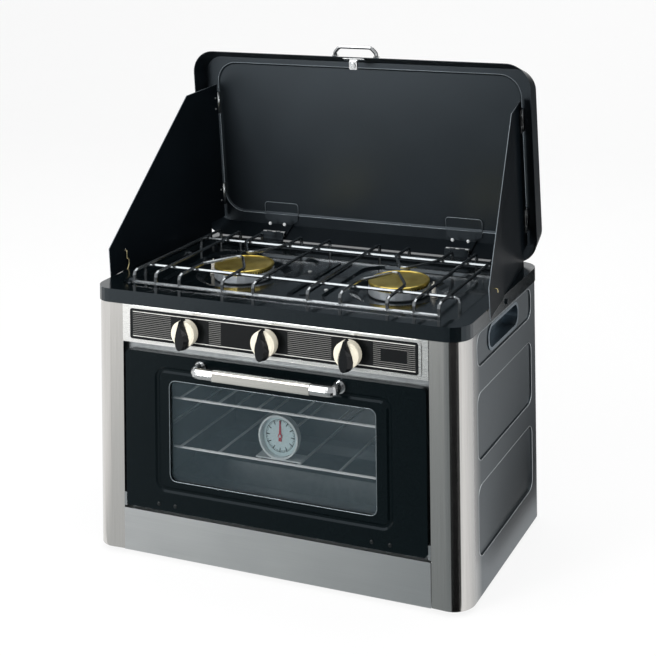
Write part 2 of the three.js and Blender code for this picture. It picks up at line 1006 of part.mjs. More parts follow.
function panGrate() {
  const rails = [grateFrontY, grateRearY].map((y) =>
    rod(
      [
        [-grateLowRailHalfWidth, y, grateLowRail],
        [grateLowRailHalfWidth, y, grateLowRail],
      ],
      grateWireRadius,
    ),
  );
  const supports = [grateRailFrontY, grateRailRearY].map((y) =>
    rod(
      [
        [-grateRailHalfWidth, y, grateFoot],
        [-grateRailHalfWidth, y, grateRailZ],
        [grateRailHalfWidth, y, grateRailZ],
        [grateRailHalfWidth, y, grateFoot],
      ],
      grateWireRadius,
      grateBend,
    ),
  );
  return join(...grateHalf(1), ...grateHalf(-1), ...rails, ...supports);
}
part("pan_grate", panGrate(), chrome);

// Control panel with a raised frame round its black fascia
const stemPlaces = [-knobX, 0, knobX];

function fasciaOutline(margin) {
  return roundRect(
    -fasciaHalfWidth - margin,
    knobZ - fasciaBelowKnobs - margin,
    fasciaHalfWidth + margin,
    knobZ + fasciaAboveKnobs + margin,
    fasciaRadius + margin,
  );
}

function frontHoles(radius, front, back) {
  return stemPlaces.map((x) =>
    frontPlate(circle(radius, x, knobZ), front - cutOverrun, back + cutOverrun),
  );
}

function controlPanel() {
  const bottom = controlBottom + seatGap;
  const face = join(
    block(-panelHalf, panelHalf, 0, sheet, bottom, wallTop),
    block(-panelHalf, panelHalf, 0, controlReturnDepth, bottom, bottom + sheet),
  );
  const frame = cut(
    frontPlate(fasciaOutline(seatGap + fasciaFrameWidth), -fasciaFrameRise, sheet / 2),
    frontPlate(fasciaOutline(seatGap), -fasciaFrameRise - cutOverrun, sheet),
  );
  return cut(join(face, frame), ...frontHoles(valveHoleRadius, 0, sheet));
}
part("control_panel", controlPanel(), stainless);

function fascia() {
  const front = -seatGap - fasciaThickness;
  return cut(frontPlate(fasciaOutline(0), front, -seatGap), ...frontHoles(valveHoleRadius, front, 0));
}
part("control_fascia", fascia(), blackPlastic);

// Knobs: a domed cream dial on a narrower neck with a black leaf-shaped grip let into it,
// turning together on the valve stem
const dialBack = -seatGap * 2 - fasciaThickness;

function knobDial() {
  const body = turned(
    [
      [0, 0],
      [knobNeckRadius, 0],
      [knobNeckRadius, knobNeckDepth],
      [knobDialRadius, knobNeckDepth],
      [knobDialRadius, knobDialDepth],
      [knobDialFaceRadius, (knobDialDepth + knobDialRise) / 2],
      [0, knobDialRise],
    ],
    wideSides,
  );
  const slot = new THREE.Shape();
  traceGrip(slot, seatGap);
  const socket = plate(holeFor(stemRadius), stemDepth + cutOverrun).translate(0, 0, -cutOverrun);
  const seat = plate(slot, knobGripFront).translate(0, 0, knobGripSeat);
  return toFront(geometryOf(cut(body, socket, seat)));
}

function traceGrip(outline, margin) {
  const width = knobGripHalfWidth + margin;
  const length = knobGripHalfLength + margin;
  outline.moveTo(0, length);
  outline.bezierCurveTo(-width / 2, length / 2, -width, 0, -width, -length / 3);
  outline.bezierCurveTo(-width, (-length * 4) / 5, -width / 2, -length, 0, -length);
  outline.bezierCurveTo(width / 2, -length, width, (-length * 4) / 5, width, -length / 3);
  outline.bezierCurveTo(width, 0, width / 2, length / 2, 0, length);
}

function knobGrip() {
  const outline = new THREE.Shape();
  traceGrip(outline, 0);
  const base = knobGripSeat + seatGap;
  const ridge = ringAt(outline, knobGripFront - seatGap);
  const crest = ridge.map((p) => new THREE.Vector3(p.x * knobCrestShare, p.y - p.y / knobGripHalfLength, p.z));
  const body = loft([
    ringAt(outline, base),
    ringAt(outline, knobGripFront - seatGap - knobGripRidge * 2),
    crest,
  ]);
  const socket = plate(holeFor(stemRadius), stemDepth - knobGripSeat).translate(0, 0, knobGripSeat);
  return toFront(geometryOf(cut(body, socket)));
}

["left", "middle", "right"].forEach((place, i) => {
  const x = stemPlaces[i];
  part(place + "_knob_dial", knobDial(), creamPlastic).position.set(x, dialBack, knobZ);
  part(place + "_knob_grip", knobGrip(), blackPlastic).position.set(x, dialBack, knobZ);
});

// Valves and the manifold that feeds them, with the inlet at the back
function valve() {
  const start = sheet + seatGap;
  const body = frontPlate(circle(valveRadius, 0, 0, wireSides), start, start + valveLength);
  const stem = frontPlate(circle(stemRadius), dialBack + seatGap - stemDepth, start + weldDepth);
  return join(body, stem);
}

["left", "middle", "right"].forEach((place, i) => {
  part(place + "_gas_valve", valve(), brass).position.set(stemPlaces[i], 0, knobZ);
});

const manifoldCentreY = sheet + seatGap * 2 + valveLength + manifoldRadius;

function manifold() {
  const end = bodyDepth + inletReach;
  const pipe = rod(
    [
      [-manifoldLeft, manifoldCentreY, knobZ],
      [inletX, manifoldCentreY, knobZ],
      [inletX, end, knobZ],
    ],
    manifoldRadius,
    pipeBend,
  );
  const nut = frontPlate(
    circle(inletNutRadius, inletX, knobZ, wireSides),
    backPanelY + seatGap,
    backPanelY + seatGap + inletNutLength,
  );
  return join(pipe, nut);
}
part("gas_manifold", manifold(), zincSteel);

function hobFeed() {
  const outlet = knobZ + valveRadius + seatGap;
  const y = valveLength / 2;
  return rod(
    [
      [knobX, y, outlet],
      [knobX, y, feedZ],
      [burnerX, burnerY - burnerNeckRadius - seatGap, feedZ],
    ],
    feedRadius,
    pipeBend / 2,
  );
}

for (const [side, half] of halves) {
  part(side + "_hob_feed", hobFeed(), zincSteel, half);
}

function ovenFeed() {
  return rod(
    [
      [0, ovenFeedY, knobZ - valveRadius - seatGap],
      [0, ovenFeedY, ovenFeedZ],
      [ovenFeedX, ovenFeedY, ovenFeedZ],
      [ovenFeedX, ovenFeedY, ovenBurnerZ],
      [ovenFeedX, ovenBurnerY, ovenBurnerZ],
      [ovenBurnerRight + seatGap, ovenBurnerY, ovenBurnerZ],
    ],
    feedRadius,
    pipeBend,
  );
}
part("oven_feed", ovenFeed(), zincSteel);

// Oven box: an open-fronted liner with a bulkhead round it and runners for the racks
function bulkheadHalfWidth() {
  const inner = frontCornerRadius - sheet - seatGap;
  const drop = frontCornerRadius - bulkheadY;
  return halfBody - frontCornerRadius + Math.sqrt(inner * inner - drop * drop);
}

// A hinge tab welded to the bulkhead, with a pin into the door's side
function doorHinge(side) {
  const inner = doorHalfWidth + seatGap;
  const outer = openingHalfWidth - seatGap;
  const middle = (side * (inner + outer)) / 2;
  const thick = outer - inner;
  const top = hingeTabBottom + hingeTabHeight;
  const back = bulkheadY + sheet / 2;
  const tab = block(middle - thick / 2, middle + thick / 2, sheet, back, hingeTabBottom, top);
  const reach = thick + sheet * 2;
  const pin = toSide(plate(circle(hingePinRadius), reach), middle - side * sheet - reach / 2);
  return join(tab, pin.translate(0, doorAxisY, doorAxisZ));
}

function ovenLiner() {
  const w = linerHalfWidth;
  const bulkhead = block(
    -bulkheadHalfWidth(),
    bulkheadHalfWidth(),
    bulkheadY,
    bulkheadY + sheet,
    kickTop + seatGap,
    controlBottom,
  );
  const shell = block(
    -w - sheet,
    w + sheet,
    bulkheadY,
    linerBack + sheet,
    linerBottom - sheet,
    linerTop + sheet,
  );
  const inside = block(-w, w, bulkheadY - cutOverrun, linerBack, linerBottom, linerTop);
  const runners = [lowRackZ, highRackZ].flatMap((z) => {
    const top = z - rackWireRadius - seatGap;
    return [-1, 1].map((side) => {
      const near = side * (w - runnerWidth);
      const far = side * (w + sheet / 2);
      return block(Math.min(near, far), Math.max(near, far), runnerFront, runnerBack, top - sheet, top);
    });
  });
  const feedHole = toSide(plate(holeFor(feedRadius), sheet + cutOverrun * 2), w - cutOverrun);
  feedHole.translate(0, ovenBurnerY, ovenBurnerZ);
  const box = cut(join(bulkhead, shell), inside);
  return cut(join(box, ...runners, doorHinge(-1), doorHinge(1)), feedHole);
}
part("oven_liner", ovenLiner(), zincSteel);

// Oven burner tube with its ports, and the roof-shaped flame spreader over it
function ovenBurner() {
  const tube = toSide(plate(circle(ovenBurnerRadius), ovenBurnerLeft + ovenBurnerRight), 0);
  tube.translate(-ovenBurnerLeft, 0, 0);
  const ports = [];
  for (let x = -ovenBurnerLeft + ovenPortPitch; x < ovenBurnerRight - ovenPortPitch; x += ovenPortPitch) {
    for (const side of [-1, 1]) {
      const y = side * ovenBurnerRadius;
      const port = block(0, ovenPortWidth, -ovenPortWidth, ovenPortWidth, 0, ovenPortWidth);
      ports.push(port.translate(x, y, -ovenPortWidth / 2));
    }
  }
  const inside = linerBottom + seatGap - ovenBurnerZ;
  const legs = [-ovenBurnerLeft, ovenBurnerRight - ovenBurnerRadius].map((x) =>
    block(x, x + ovenBurnerRadius, -ovenBurnerRadius / 2, ovenBurnerRadius / 2, inside, 0),
  );
  return join(cut(tube, ...ports), ...legs);
}
part("oven_burner", ovenBurner(), zincSteel).position.set(0, ovenBurnerY, ovenBurnerZ);

function flameSpreader() {
  const foot = linerBottom + seatGap;
  const middle = (spreaderFront + spreaderBack) / 2;
  const profile = polygon([
    [spreaderFront, foot],
    [spreaderFront + sheet, foot],
    [spreaderFront + sheet, spreaderTop - sheet],
    [middle, spreaderRidge - sheet],
    [spreaderBack - sheet, spreaderTop - sheet],
    [spreaderBack - sheet, foot],
    [spreaderBack, foot],
    [spreaderBack, spreaderTop],
    [middle, spreaderRidge],
    [spreaderFront, spreaderTop],
  ]);
  return toSide(plate(profile, spreaderHalfWidth * 2), -spreaderHalfWidth);
}
part("flame_spreader", flameSpreader(), zincSteel);

// Racks: a bent frame with cross wires and a raised stop at the back
function rack() {
  const frame = rod(
    [
      [-rackSideX, rackBack, 0],
      [-rackSideX, rackFront, 0],
      [rackSideX, rackFront, 0],
      [rackSideX, rackBack, 0],
    ],
    rackWireRadius,
    rackWireRadius * 3,
  );
  const back = rod(
    [
      [-rackSideX, rackBack - rackWireRadius, 0],
      [rackSideX, rackBack - rackWireRadius, 0],
    ],
    rackWireRadius,
  );
  const wires = [];
  for (let i = 0; i < rackWirePairs; i += 1) {
    for (const side of [-1, 1]) {
      const x = side * rackPitch * (i + 1 / 2);
      wires.push(
        rod(
          [
            [x, rackFront, 0],
            [x, rackBack - rackWireRadius, 0],
            [x, rackBack - rackWireRadius, rackStopRise],
          ],
          rackWireRadius,
          rackWireRadius,
        ),
      );
    }
  }
  return join(frame, back, ...wires);
}
part("lower_rack", rack(), chrome).position.z = lowRackZ;
part("upper_rack", rack(), chrome).position.z = highRackZ;

// Thermometer: a round case on a folded stand, with a dial and a needle
function thermometerCase() {
  const back = dialCaseY + dialCaseDepth;
  const cup = frontPlate(circle(dialCaseRadius, 0, dialCaseZ, wideSides), dialCaseY, back);
  const hollow = frontPlate(
    circle(dialCaseRadius - dialRim, 0, dialCaseZ, wideSides),
    dialCaseY - cutOverrun,
    back - sheet,
  );
  const foot = lowRackZ + rackWireRadius + seatGap;
  const legTop = dialCaseZ - dialCaseRadius + dialRim;
  const stand = join(
    block(-standWidth, standWidth, dialCaseY, dialCaseY + standDepth, foot, foot + standSheet),
    block(-standNeck, standNeck, back - sheet, back, foot, legTop + dialRim),
  );
  return join(cut(cup, hollow), stand);
}
part("thermometer_case", thermometerCase(), chrome);

const dialY = dialCaseY + dialCaseDepth - sheet - seatGap - dialThickness;

function thermometerDial() {
  const radius = dialCaseRadius - dialRim - seatGap;
  const disc = frontPlate(circle(radius, 0, dialCaseZ, wideSides), dialY, dialY + dialThickness);
  const pinFront = dialY - seatGap * 2 - needleThickness * 2;
  return join(disc, frontPlate(circle(dialHubRadius, 0, dialCaseZ), pinFront, dialY + weldDepth));
}
part("thermometer_dial", thermometerDial(), dialFace);

function needle() {
  const outline = polygon([
    [-needleWidth, -needleLength / 3],
    [needleWidth, -needleLength / 3],
    [needleWidth / 4, needleLength],
    [-needleWidth / 4, needleLength],
  ]);
  const blade = frontPlate(outline, -needleThickness, 0);
  const hub = frontPlate(circle(dialHubRadius * 2), -needleThickness, 0);
  const bore = frontPlate(holeFor(dialHubRadius), -needleThickness - cutOverrun, cutOverrun);
  return cut(join(blade, hub), bore);
}
part("thermometer_needle", needle(), pointerRed).position.set(0, dialY - seatGap * 2, dialCaseZ);

// Oven door: a pressed front with a grooved ring and a lipped window, a glass and an inner frame
const oven = new THREE.Group();
stove.add(oven);

function doorOutline(inset) {
  return roundRect(
    inset - doorHalfWidth,
    doorBottom + inset,
    doorHalfWidth - inset,
    doorTop - inset,
    Math.max(doorRadius - inset, sheet),
  );
}

function windowOutline(margin) {
  return roundRect(
    -windowHalfWidth - margin,
    windowBottom - margin,
    windowHalfWidth + margin,
    windowTop + margin,
    windowRadius + margin,
  );
}

function grooveOutline(inset) {
  return roundRect(
    inset - grooveHalfWidth,
    grooveBottom + inset,
    grooveHalfWidth - inset,
    grooveTop - inset,
    grooveRadius - inset,
  );
}

function doorPanel() {
  const pan = cut(
    frontPlate(doorOutline(0), 0, doorDepth),
    frontPlate(doorOutline(sheet), sheet, doorDepth + cutOverrun),
  );
  const lip = frontPlate(windowOutline(sheet), sheet / 2, windowLip);
  const swell = frontPlate(grooveOutline(-sheet), sheet / 2, sheet + groovePress);
  const swellCore = frontPlate(grooveOutline(grooveWidth + sheet), sheet, sheet + groovePress + cutOverrun);
  const ditch = loft([
    ringAt(grooveOutline(grooveSlope), -groovePress),
    ringAt(grooveOutline(0), 0),
    ringAt(grooveOutline(0), cutOverrun),
  ]);
  const island = loft([
    ringAt(grooveOutline(grooveWidth - grooveSlope), -groovePress - cutOverrun),
    ringAt(grooveOutline(grooveWidth - grooveSlope), -groovePress),
    ringAt(grooveOutline(grooveWidth), 0),
    ringAt(grooveOutline(grooveWidth), cutOverrun * 2),
  ]);
  const groove = cut(toFront(ditch), toFront(island));
  const opening = frontPlate(windowOutline(0), -cutOverrun, windowLip + cutOverrun);
  const pins = toSide(plate(holeFor(hingePinRadius), doorHalfWidth * 2 + cutOverrun * 2), 0);
  pins.translate(-doorHalfWidth - cutOverrun, doorAxisY, doorAxisZ);
  return cut(join(cut(join(pan, swell), swellCore), lip), groove, opening, pins);
}
part("door_panel", doorPanel(), enamel, oven);

const glassFront = windowLip + seatGap;
part(
  "door_glass",
  frontPlate(windowOutline(glassMargin), glassFront, glassFront + glassThickness),
  windowGlass,
  oven,
);

const innerFrameFront = Math.max(doorDepth, glassFront + glassThickness) + seatGap;

function innerFrame() {
  const back = innerFrameFront + innerFrameThickness;
  return cut(
    frontPlate(doorOutline(innerFrameMargin), innerFrameFront, back),
    frontPlate(windowOutline(0), innerFrameFront - cutOverrun, back + cutOverrun),
  );
}
part("door_inner_frame", innerFrame(), zincSteel, oven);

// Door handle: a bright flat bar between two oval elbows, each on a round flange
function handleBar() {
  const outline = roundRect(
    -handleFront,
    handleBottom,
    handleBarDepth - handleFront,
    handleBarTop,
    handleBarDepth / 3,
  );
  return sidePlate(outline, -handleBarHalf, handleBarHalf);
}
part("handle_bar", handleBar(), handleSteel, oven);

function handleBracket() {
  const y = bracketRadius - handleFront;
  const elbow = rod(
    [
      [handleBarHalf + seatGap, y, 0],
      [bracketX, y, 0],
      [bracketX, -seatGap - bracketFlange / 2, 0],
    ],
    bracketRadius,
    bracketBend,
    roundSides,
    elbowSteps,
  );
  elbow.scale(1, 1, bracketTallShare);
  const flange = toFront(plate(circle(bracketFlangeRadius), bracketFlange), -seatGap);
  return join(elbow, flange.translate(bracketX, 0, 0));
}

for (const [side, half] of halves) {
  const group = new THREE.Group();
  group.scale.x = half === stove ? 1 : -1;
  group.position.z = (handleBottom + handleBarTop) / 2;
  oven.add(group);
  part(side + "_handle_bracket", handleBracket(), chrome, group);
}

// Lid, in a group whose X is the stove's, Y runs up the open lid and Z faces the hob
const lid = new THREE.Group();
lid.position.set(0, lidOriginY, lidOriginZ);
lid.rotation.x = THREE.MathUtils.degToRad(90 + lidLean);
stove.add(lid);
const mirrorLid = new THREE.Group();
mirrorLid.scale.x = -1;
lid.add(mirrorLid);
const lidHalves = [
  ["right", lid],
  ["left", mirrorLid],
];

function lidOutline(halfWidth, bottom, top, radius, inset) {
  return roundRect(inset - halfWidth, bottom + inset, halfWidth - inset, top - inset, radius - inset);
}

function lidBlock(inset, depth, rimReach) {
  const rim = lidOutline(lidRimHalfWidth, lidRimBottom, lidRimTop, lidRadius, inset);
  const back = lidOutline(lidBackHalfWidth, lidBackBottom, lidBackTop, lidBackRadius, inset);
  return loft([
    ringAt(back, -depth, finestSteps),
    ringAt(rim, 0, finestSteps),
    ...(rimReach ? [ringAt(rim, rimReach, finestSteps)] : []),
  ]);
}

function lidPanelOutline(inset) {
  return roundRect(
    inset - lidPanelHalfWidth,
    lidPanelBottom + inset,
    lidPanelHalfWidth - inset,
    lidPanelTop - inset,
    lidPanelRadius - inset,
  );
}

const lidFloor = -lidDepth + sheet;
const shieldHinges = [shieldHingeLow, shieldHingeHigh];

function lidShell() {
  const tray = cut(lidBlock(0, lidDepth, 0), lidBlock(sheet, lidDepth - sheet, cutOverrun));
  const swell = loft([
    ringAt(lidPanelOutline(lidPanelDraft - sheet), -lidDepth - lidPanelPress, finestSteps),
    ringAt(lidPanelOutline(-sheet), -lidDepth, finestSteps),
    ringAt(lidPanelOutline(-sheet), weldDepth - lidDepth, finestSteps),
  ]);
  const hollow = loft([
    ringAt(lidPanelOutline(lidPanelDraft), lidFloor - lidPanelPress, finestSteps),
    ringAt(lidPanelOutline(0), lidFloor, finestSteps),
    ringAt(lidPanelOutline(0), lidFloor + cutOverrun, finestSteps),
  ]);
  return cut(join(tray, swell), hollow);
}
part("lid_shell", lidShell(), blackPaint, lid);

// Lid hinges: alternate knuckles on a tapered leaf up the lid and on a strap to the hob's rim
const knucklePitch = (lidKnuckleOuter - lidKnuckleInner) / lidKnuckles;

function knuckleRow(first, v, n) {
  const rows = [];
  for (let i = first; i < lidKnuckles; i += 2) {
    const start = lidKnuckleInner + i * knucklePitch + seatGap / 2;
    const barrel = toSide(plate(circle(lidKnuckleRadius), knucklePitch - seatGap), start);
    rows.push(barrel.translate(0, v, n));
  }
  return rows;
}

function lidLeafOutline() {
  const top = lidLeafTop - lidLeafCorner;
  const outline = new THREE.Shape();
  outline.moveTo(lidKnuckleInner, lidHingeV * 2);
  outline.lineTo(lidKnuckleOuter, lidHingeV * 2);
  outline.lineTo(lidKnuckleOuter, lidLeafTaperLow);
  outline.lineTo(lidLeafOuter, lidLeafTaperHigh);
  outline.absarc(lidLeafOuter - lidLeafCorner, top, lidLeafCorner, 0, Math.PI / 2);
  outline.absarc(lidLeafInner + lidLeafCorner, top, lidLeafCorner, Math.PI / 2, Math.PI);
  outline.lineTo(lidLeafInner, lidLeafTaperHigh);
  outline.lineTo(lidKnuckleInner, lidLeafTaperLow);
  return outline;
}

function lidLeaf() {
  const gap = seatGap;
  const slopeRun = lidBackBottom - lidRimBottom;
  const slopeAt = (n) => lidRimBottom + sheet + gap + (slopeRun * -n) / (lidDepth - sheet) + gap;
  const floor = lidFloor + gap;
  const sunk = lidFloor - lidPanelPress + gap;
  const knuckleBack = lidHingeN - lidKnuckleRadius;
  const crease = slopeAt(floor);
  const profile = polygon([
    [lidHingeV, lidHingeN],
    [slopeAt(knuckleBack), knuckleBack],
    [crease, floor],
    [lidPanelBottom + gap, floor],
    [lidPanelBottom + lidPanelDraft + gap, sunk],
    [lidLeafTop, sunk],
    [lidLeafTop, sunk + sheet],
    [lidPanelBottom + lidPanelDraft + gap + sheet / 2, sunk + sheet],
    [lidPanelBottom + gap + sheet / 2, floor + sheet],
    [crease + sheet, floor + sheet * 2],
    [slopeAt(knuckleBack) + sheet * 2, knuckleBack],
  ]);
  const strip = meet(
    toSide(plate(profile, lidLeafOuter - lidLeafInner), lidLeafInner),
    levelPlate(lidLeafOutline(), -lidDepth * 2, 0),
  );
  const rows = knuckleRow(0, lidHingeV, lidHingeN);
  const notches = [];
  for (let i = 1; i < lidKnuckles; i += 2) {
    const start = lidKnuckleInner + i * knucklePitch - seatGap / 2;
    const room = lidKnuckleRadius + seatGap;
    notches.push(
      block(
        start,
        start + knucklePitch + seatGap,
        lidHingeV - room * 2,
        lidHingeV + room * 2,
        lidHingeN - room - seatGap,
        lidHingeN + room,
      ),
    );
  }
  return join(cut(strip, ...notches), ...rows);
}

for (const [side, half] of lidHalves) {
  part(side + "_lid_leaf", lidLeaf(), blackPaint, half);
}

// Lid handle: a bent round bail on two flanged feet, through the lid's top wall
function lidTopAt(n) {
  return lidRimTop + ((lidRimTop - lidBackTop) * n) / lidDepth;
}

function lidHandle() {
  const foot = lidTopAt(bailN + bailFootRadius) + seatGap;
  const bail = rod(
    [
      [-bailHalfWidth, foot, bailN],
      [-bailHalfWidth, bailTop - (bailHalfWidth - bailCornerX), bailN],
      [-bailCornerX, bailTop, bailN],
      [bailCornerX, bailTop, bailN],
      [bailHalfWidth, bailTop - (bailHalfWidth - bailCornerX), bailN],
      [bailHalfWidth, foot, bailN],
    ],
    bailRadius,
    bailRadius,
  );
  const feet = [-bailHalfWidth, bailHalfWidth].map((x) => {
    const flange = plate(circle(bailFootRadius), bailFootHeight).rotateX(-Math.PI / 2);
    return flange.translate(x, foot, bailN);
  });
  return join(bail, ...feet);
}
part("lid_handle", lidHandle(), chrome, lid);

// Lid latch: a bracket under the top wall and a square tongue that turns on its screw
function lidTopInside(n) {
  return lidRimTop - sheet + ((lidRimTop - lidBackTop) * n) / (lidDepth - sheet);
}

function latchBracket() {
  const deep = -latchFront - latchPlateDepth;
  const seat = (n) => lidTopInside(n) - seatGap;
  const profile = polygon([
    [seat(-latchFront), -latchFront],
    [seat(deep), deep],
    [seat(deep) - latchThickness, deep],
    [seat(-latchFront) - latchThickness, -latchFront],
  ]);
  const shelf = toSide(plate(profile, latchPlateHalfWidth * 2), -latchPlateHalfWidth);
  const tabTop = seat(-latchFront) - latchThickness / 2;
  const tab = levelPlate(
    roundRect(-latchHalfWidth, latchBottom, latchHalfWidth, tabTop, latchThickness),
    -latchFront - latchThickness,
    -latchFront,
  );
  return join(shelf, tab);
}
part("latch_bracket", latchBracket(), chrome, lid);

function lidLatch() {
  const back = seatGap - latchFront;
  const tongue = levelPlate(
    roundRect(-latchHalfWidth, -latchHalfWidth, latchHalfWidth, latchHalfWidth, latchHalfWidth / 3),
    back,
    back + latchThickness,
  );
  const head = levelPlate(circle(latchScrewRadius), back, back + latchThickness + latchScrewHeight);
  return join(tongue, head);
}
part("lid_latch", lidLatch(), chrome, lid).position.y = latchV;

// Windshields: bent from the hinge line, splayed past the hob, each with a wire hook
const shieldHalves = lidHalves.map(([side, half]) => {
  const group = new THREE.Group();
  group.position.set(shieldAxisU, 0, shieldAxisN);
  group.rotation.y = THREE.MathUtils.degToRad(shieldSplay);
  half.add(group);
  return [side, group];
});

// In a shield's group Y runs up the hinge line, Z out along the plate and X away from the pot
function shieldPlate() {
  const outline = new THREE.Shape();
  const root = shieldHingeOffset;
  outline.moveTo(root, shieldRootLow);
  outline.lineTo(shieldReach, shieldLow);
  outline.lineTo(shieldReach, shieldCorner);
  outline.lineTo(shieldTopReach, shieldTop);
  outline.lineTo(root, shieldTop);
  const blank = plate(outline, shieldThickness);
  blank.applyMatrix4(
    new THREE.Matrix4().makeBasis(
      new THREE.Vector3(0, 0, 1),
      new THREE.Vector3(0, 1, 0),
      new THREE.Vector3(-1, 0, 0),
    ),
  );
  const knuckles = shieldHinges.flatMap((start) => {
    const barrel = plate(circle(shieldKnuckleRadius), shieldHingeLength).rotateX(-Math.PI / 2);
    barrel.translate(0, start, 0);
    const leaf = block(-shieldThickness, 0, start, start + shieldHingeLength, 0, shieldLeafReach);
    return [barrel, leaf];
  });
  const hole = toSide(plate(circle(hookHoleRadius), shieldThickness + cutOverrun * 2), 0);
  hole.translate(-cutOverrun - shieldThickness, hookHoleV, hookReach);
  return cut(join(blank, ...knuckles), hole);
}

function hook() {
  const [jogStart, jogEnd, jogFoot] = hookJogShares.map((share) => -share * hookDrop);
  return rod(
    [
      [hookFoot, -hookEnd, 0],
      [hookFoot, 0, 0],
      [-hookFoot, 0, 0],
      [-hookFoot, jogStart, 0],
      [-hookFoot, jogEnd, -hookJog],
      [-hookFoot, jogFoot, -hookJog],
      [-hookFoot, -hookDrop, 0],
    ],
    hookRadius,
    hookRadius * 2,
  );
}

for (const [side, group] of shieldHalves) {
  part(side + "_windshield", shieldPlate(), blackPaint, group);
  const hanging = part(side + "_hook", hook(), hookWire, group);
  hanging.position.set(0, hookHoleV, hookReach);
  hanging.rotation.x = -THREE.MathUtils.degToRad(lidLean);
}

// Fixed hinge straps from the hob's rear rim to the lid's hinge line
function baseLeaf() {
  const axis = new THREE.Vector3(0, lidHingeV, lidHingeN).applyEuler(lid.rotation).add(lid.position);
  const top = axis.z + lidKnuckleRadius;
  const foot = rimTop + seatGap;
  const width = lidKnuckleOuter - lidKnuckleInner - seatGap;
  const start = lidKnuckleInner + seatGap / 2;
  const profile = polygon([
    [lidStrapY - lidFootDepth, foot],
    [lidStrapY, foot],
    [lidStrapY, top - sheet],
    [axis.y, top - sheet],
    [axis.y, top],
    [lidStrapY - sheet, top],
    [lidStrapY - sheet, foot + sheet],
    [lidStrapY - lidFootDepth, foot + sheet],
  ]);
  const strap = toSide(plate(profile, width), start);
  const notches = [];
  for (let i = 0; i < lidKnuckles; i += 2) {
    const near = lidKnuckleInner + i * knucklePitch - seatGap / 2;
    const room = lidKnuckleRadius + seatGap;
    const far = near + knucklePitch + seatGap;
    notches.push(
      block(near, far, axis.y - room - sheet, axis.y + room, axis.z - room, top + sheet),
    );
  }
  return join(cut(strap, ...notches), ...knuckleRow(1, axis.y, axis.z));
}
for (const [side, half] of halves) {
  part(side + "_base_leaf", baseLeaf(), chrome, half);
}

// The stove's own frame: origin under the middle of everything, on the ground
const extent = new THREE.Box3().setFromObject(stove, true);
const standing = new THREE.Group();
stove.position.set(0, -(extent.min.y + extent.max.y) / 2, -extent.min.z);
standing.add(stove);

export default standing;
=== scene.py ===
# A two burner camping stove over a small gas oven, lid open and windshields out.
# Everything is in metres: X to the right, Y to the back, Z up, with the floor at zero.
import math

import bpy
from mathutils import Matrix, Vector


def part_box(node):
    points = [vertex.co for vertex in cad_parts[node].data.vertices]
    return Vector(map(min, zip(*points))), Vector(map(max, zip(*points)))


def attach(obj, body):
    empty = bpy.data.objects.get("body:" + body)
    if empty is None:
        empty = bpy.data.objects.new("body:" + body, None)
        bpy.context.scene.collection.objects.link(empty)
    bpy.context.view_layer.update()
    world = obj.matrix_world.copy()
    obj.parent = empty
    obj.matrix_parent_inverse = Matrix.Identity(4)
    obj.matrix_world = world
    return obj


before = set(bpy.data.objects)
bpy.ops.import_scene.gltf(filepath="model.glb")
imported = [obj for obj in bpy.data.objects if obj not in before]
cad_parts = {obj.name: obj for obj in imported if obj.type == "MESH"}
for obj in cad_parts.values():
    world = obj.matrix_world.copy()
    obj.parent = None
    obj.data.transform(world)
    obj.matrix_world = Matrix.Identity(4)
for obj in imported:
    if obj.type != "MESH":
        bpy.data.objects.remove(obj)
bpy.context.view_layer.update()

# Camera: a long lens from the front right, looking down. Its picture plane stands upright, as
# in the photograph, so that the stove's upright edges stay upright. For that the camera hangs
# from a stand by a frame whose third axis leans, as it would behind a shifted lens
lens_place = (0.87299, -1.72874, 0.91263)
picture_right = Vector((0.9319424, 0.3624208, -0.0115973))
picture_top = Vector((0.0136379, -0.0030725, 0.9999023))
slant_right = 0.08795
slant_top = 0.33787

lens_data = bpy.data.cameras.new("camera")
lens_data.sensor_width = 36
lens_data.lens = 80.64
lens_data.clip_end = 50
camera = bpy.data.objects.new("camera", lens_data)
stand = bpy.data.objects.new("camera_stand", None)
for piece in (camera, stand):
    bpy.context.collection.objects.link(piece)
slant = picture_right * slant_right + picture_top * slant_top
to_lens = picture_right.cross(picture_top) + slant
slanted = Matrix((picture_right, picture_top, to_lens)).transposed().to_4x4()
camera.parent = stand
camera.matrix_parent_inverse = Matrix.Translation(lens_place) @ slanted
bpy.context.scene.camera = camera
bpy.context.scene.view_settings.view_transform = "Standard"

# Floor and backdrop: one white studio sweep, a roll of matt paper that lies under the stove
# and curves up behind it. The camera sees it nearly white, and it keeps the stove's soft
# shadow. Its fibres are too fine to show and are drawn as faint clouds, 200 mm from side to side
MM = 0.001
roll_half_width = 9.0
roll_front = -9.0
bend_start = 2.4
bend_radius = 1.2
bend_steps = 12
roll_top = 6.0
fibre_cloud = 200 * MM
paper_glow = 0.84


def tint(code):
    """An sRGB hex colour as linear red, green, blue and alpha."""
    shades = [int(code[i : i + 2], 16) / 255 for i in (1, 3, 5)]
    linear = [s / 12.92 if s <= 0.04045 else ((s + 0.055) / 1.055) ** 2.4 for s in shades]
    return (*linear, 1.0)


def put(material, kind, feeds=None, ramp=(), **fields):
    """Adds one node: feeds are sockets by name or number, ramp its stops, fields its settings.

    A ramp's two ends come first in ramp, and then any stops between them, each as a place
    from 0 to 1 with a hex colour.
    """
    tree = material.node_tree
    made = tree.nodes.new("ShaderNode" + kind)
    for field, value in fields.items():
        setattr(made, field, value)
    for number, (place, code) in enumerate(ramp):
        stops = made.color_ramp.elements
        stop = stops[number] if number < 2 else stops.new(place)
        stop.position = place
        stop.color = tint(code)
    for name, value in (feeds or {}).items():
        if isinstance(value, bpy.types.NodeSocket):
            tree.links.new(value, made.inputs[name])
        else:
            made.inputs[name].default_value = value
    return made


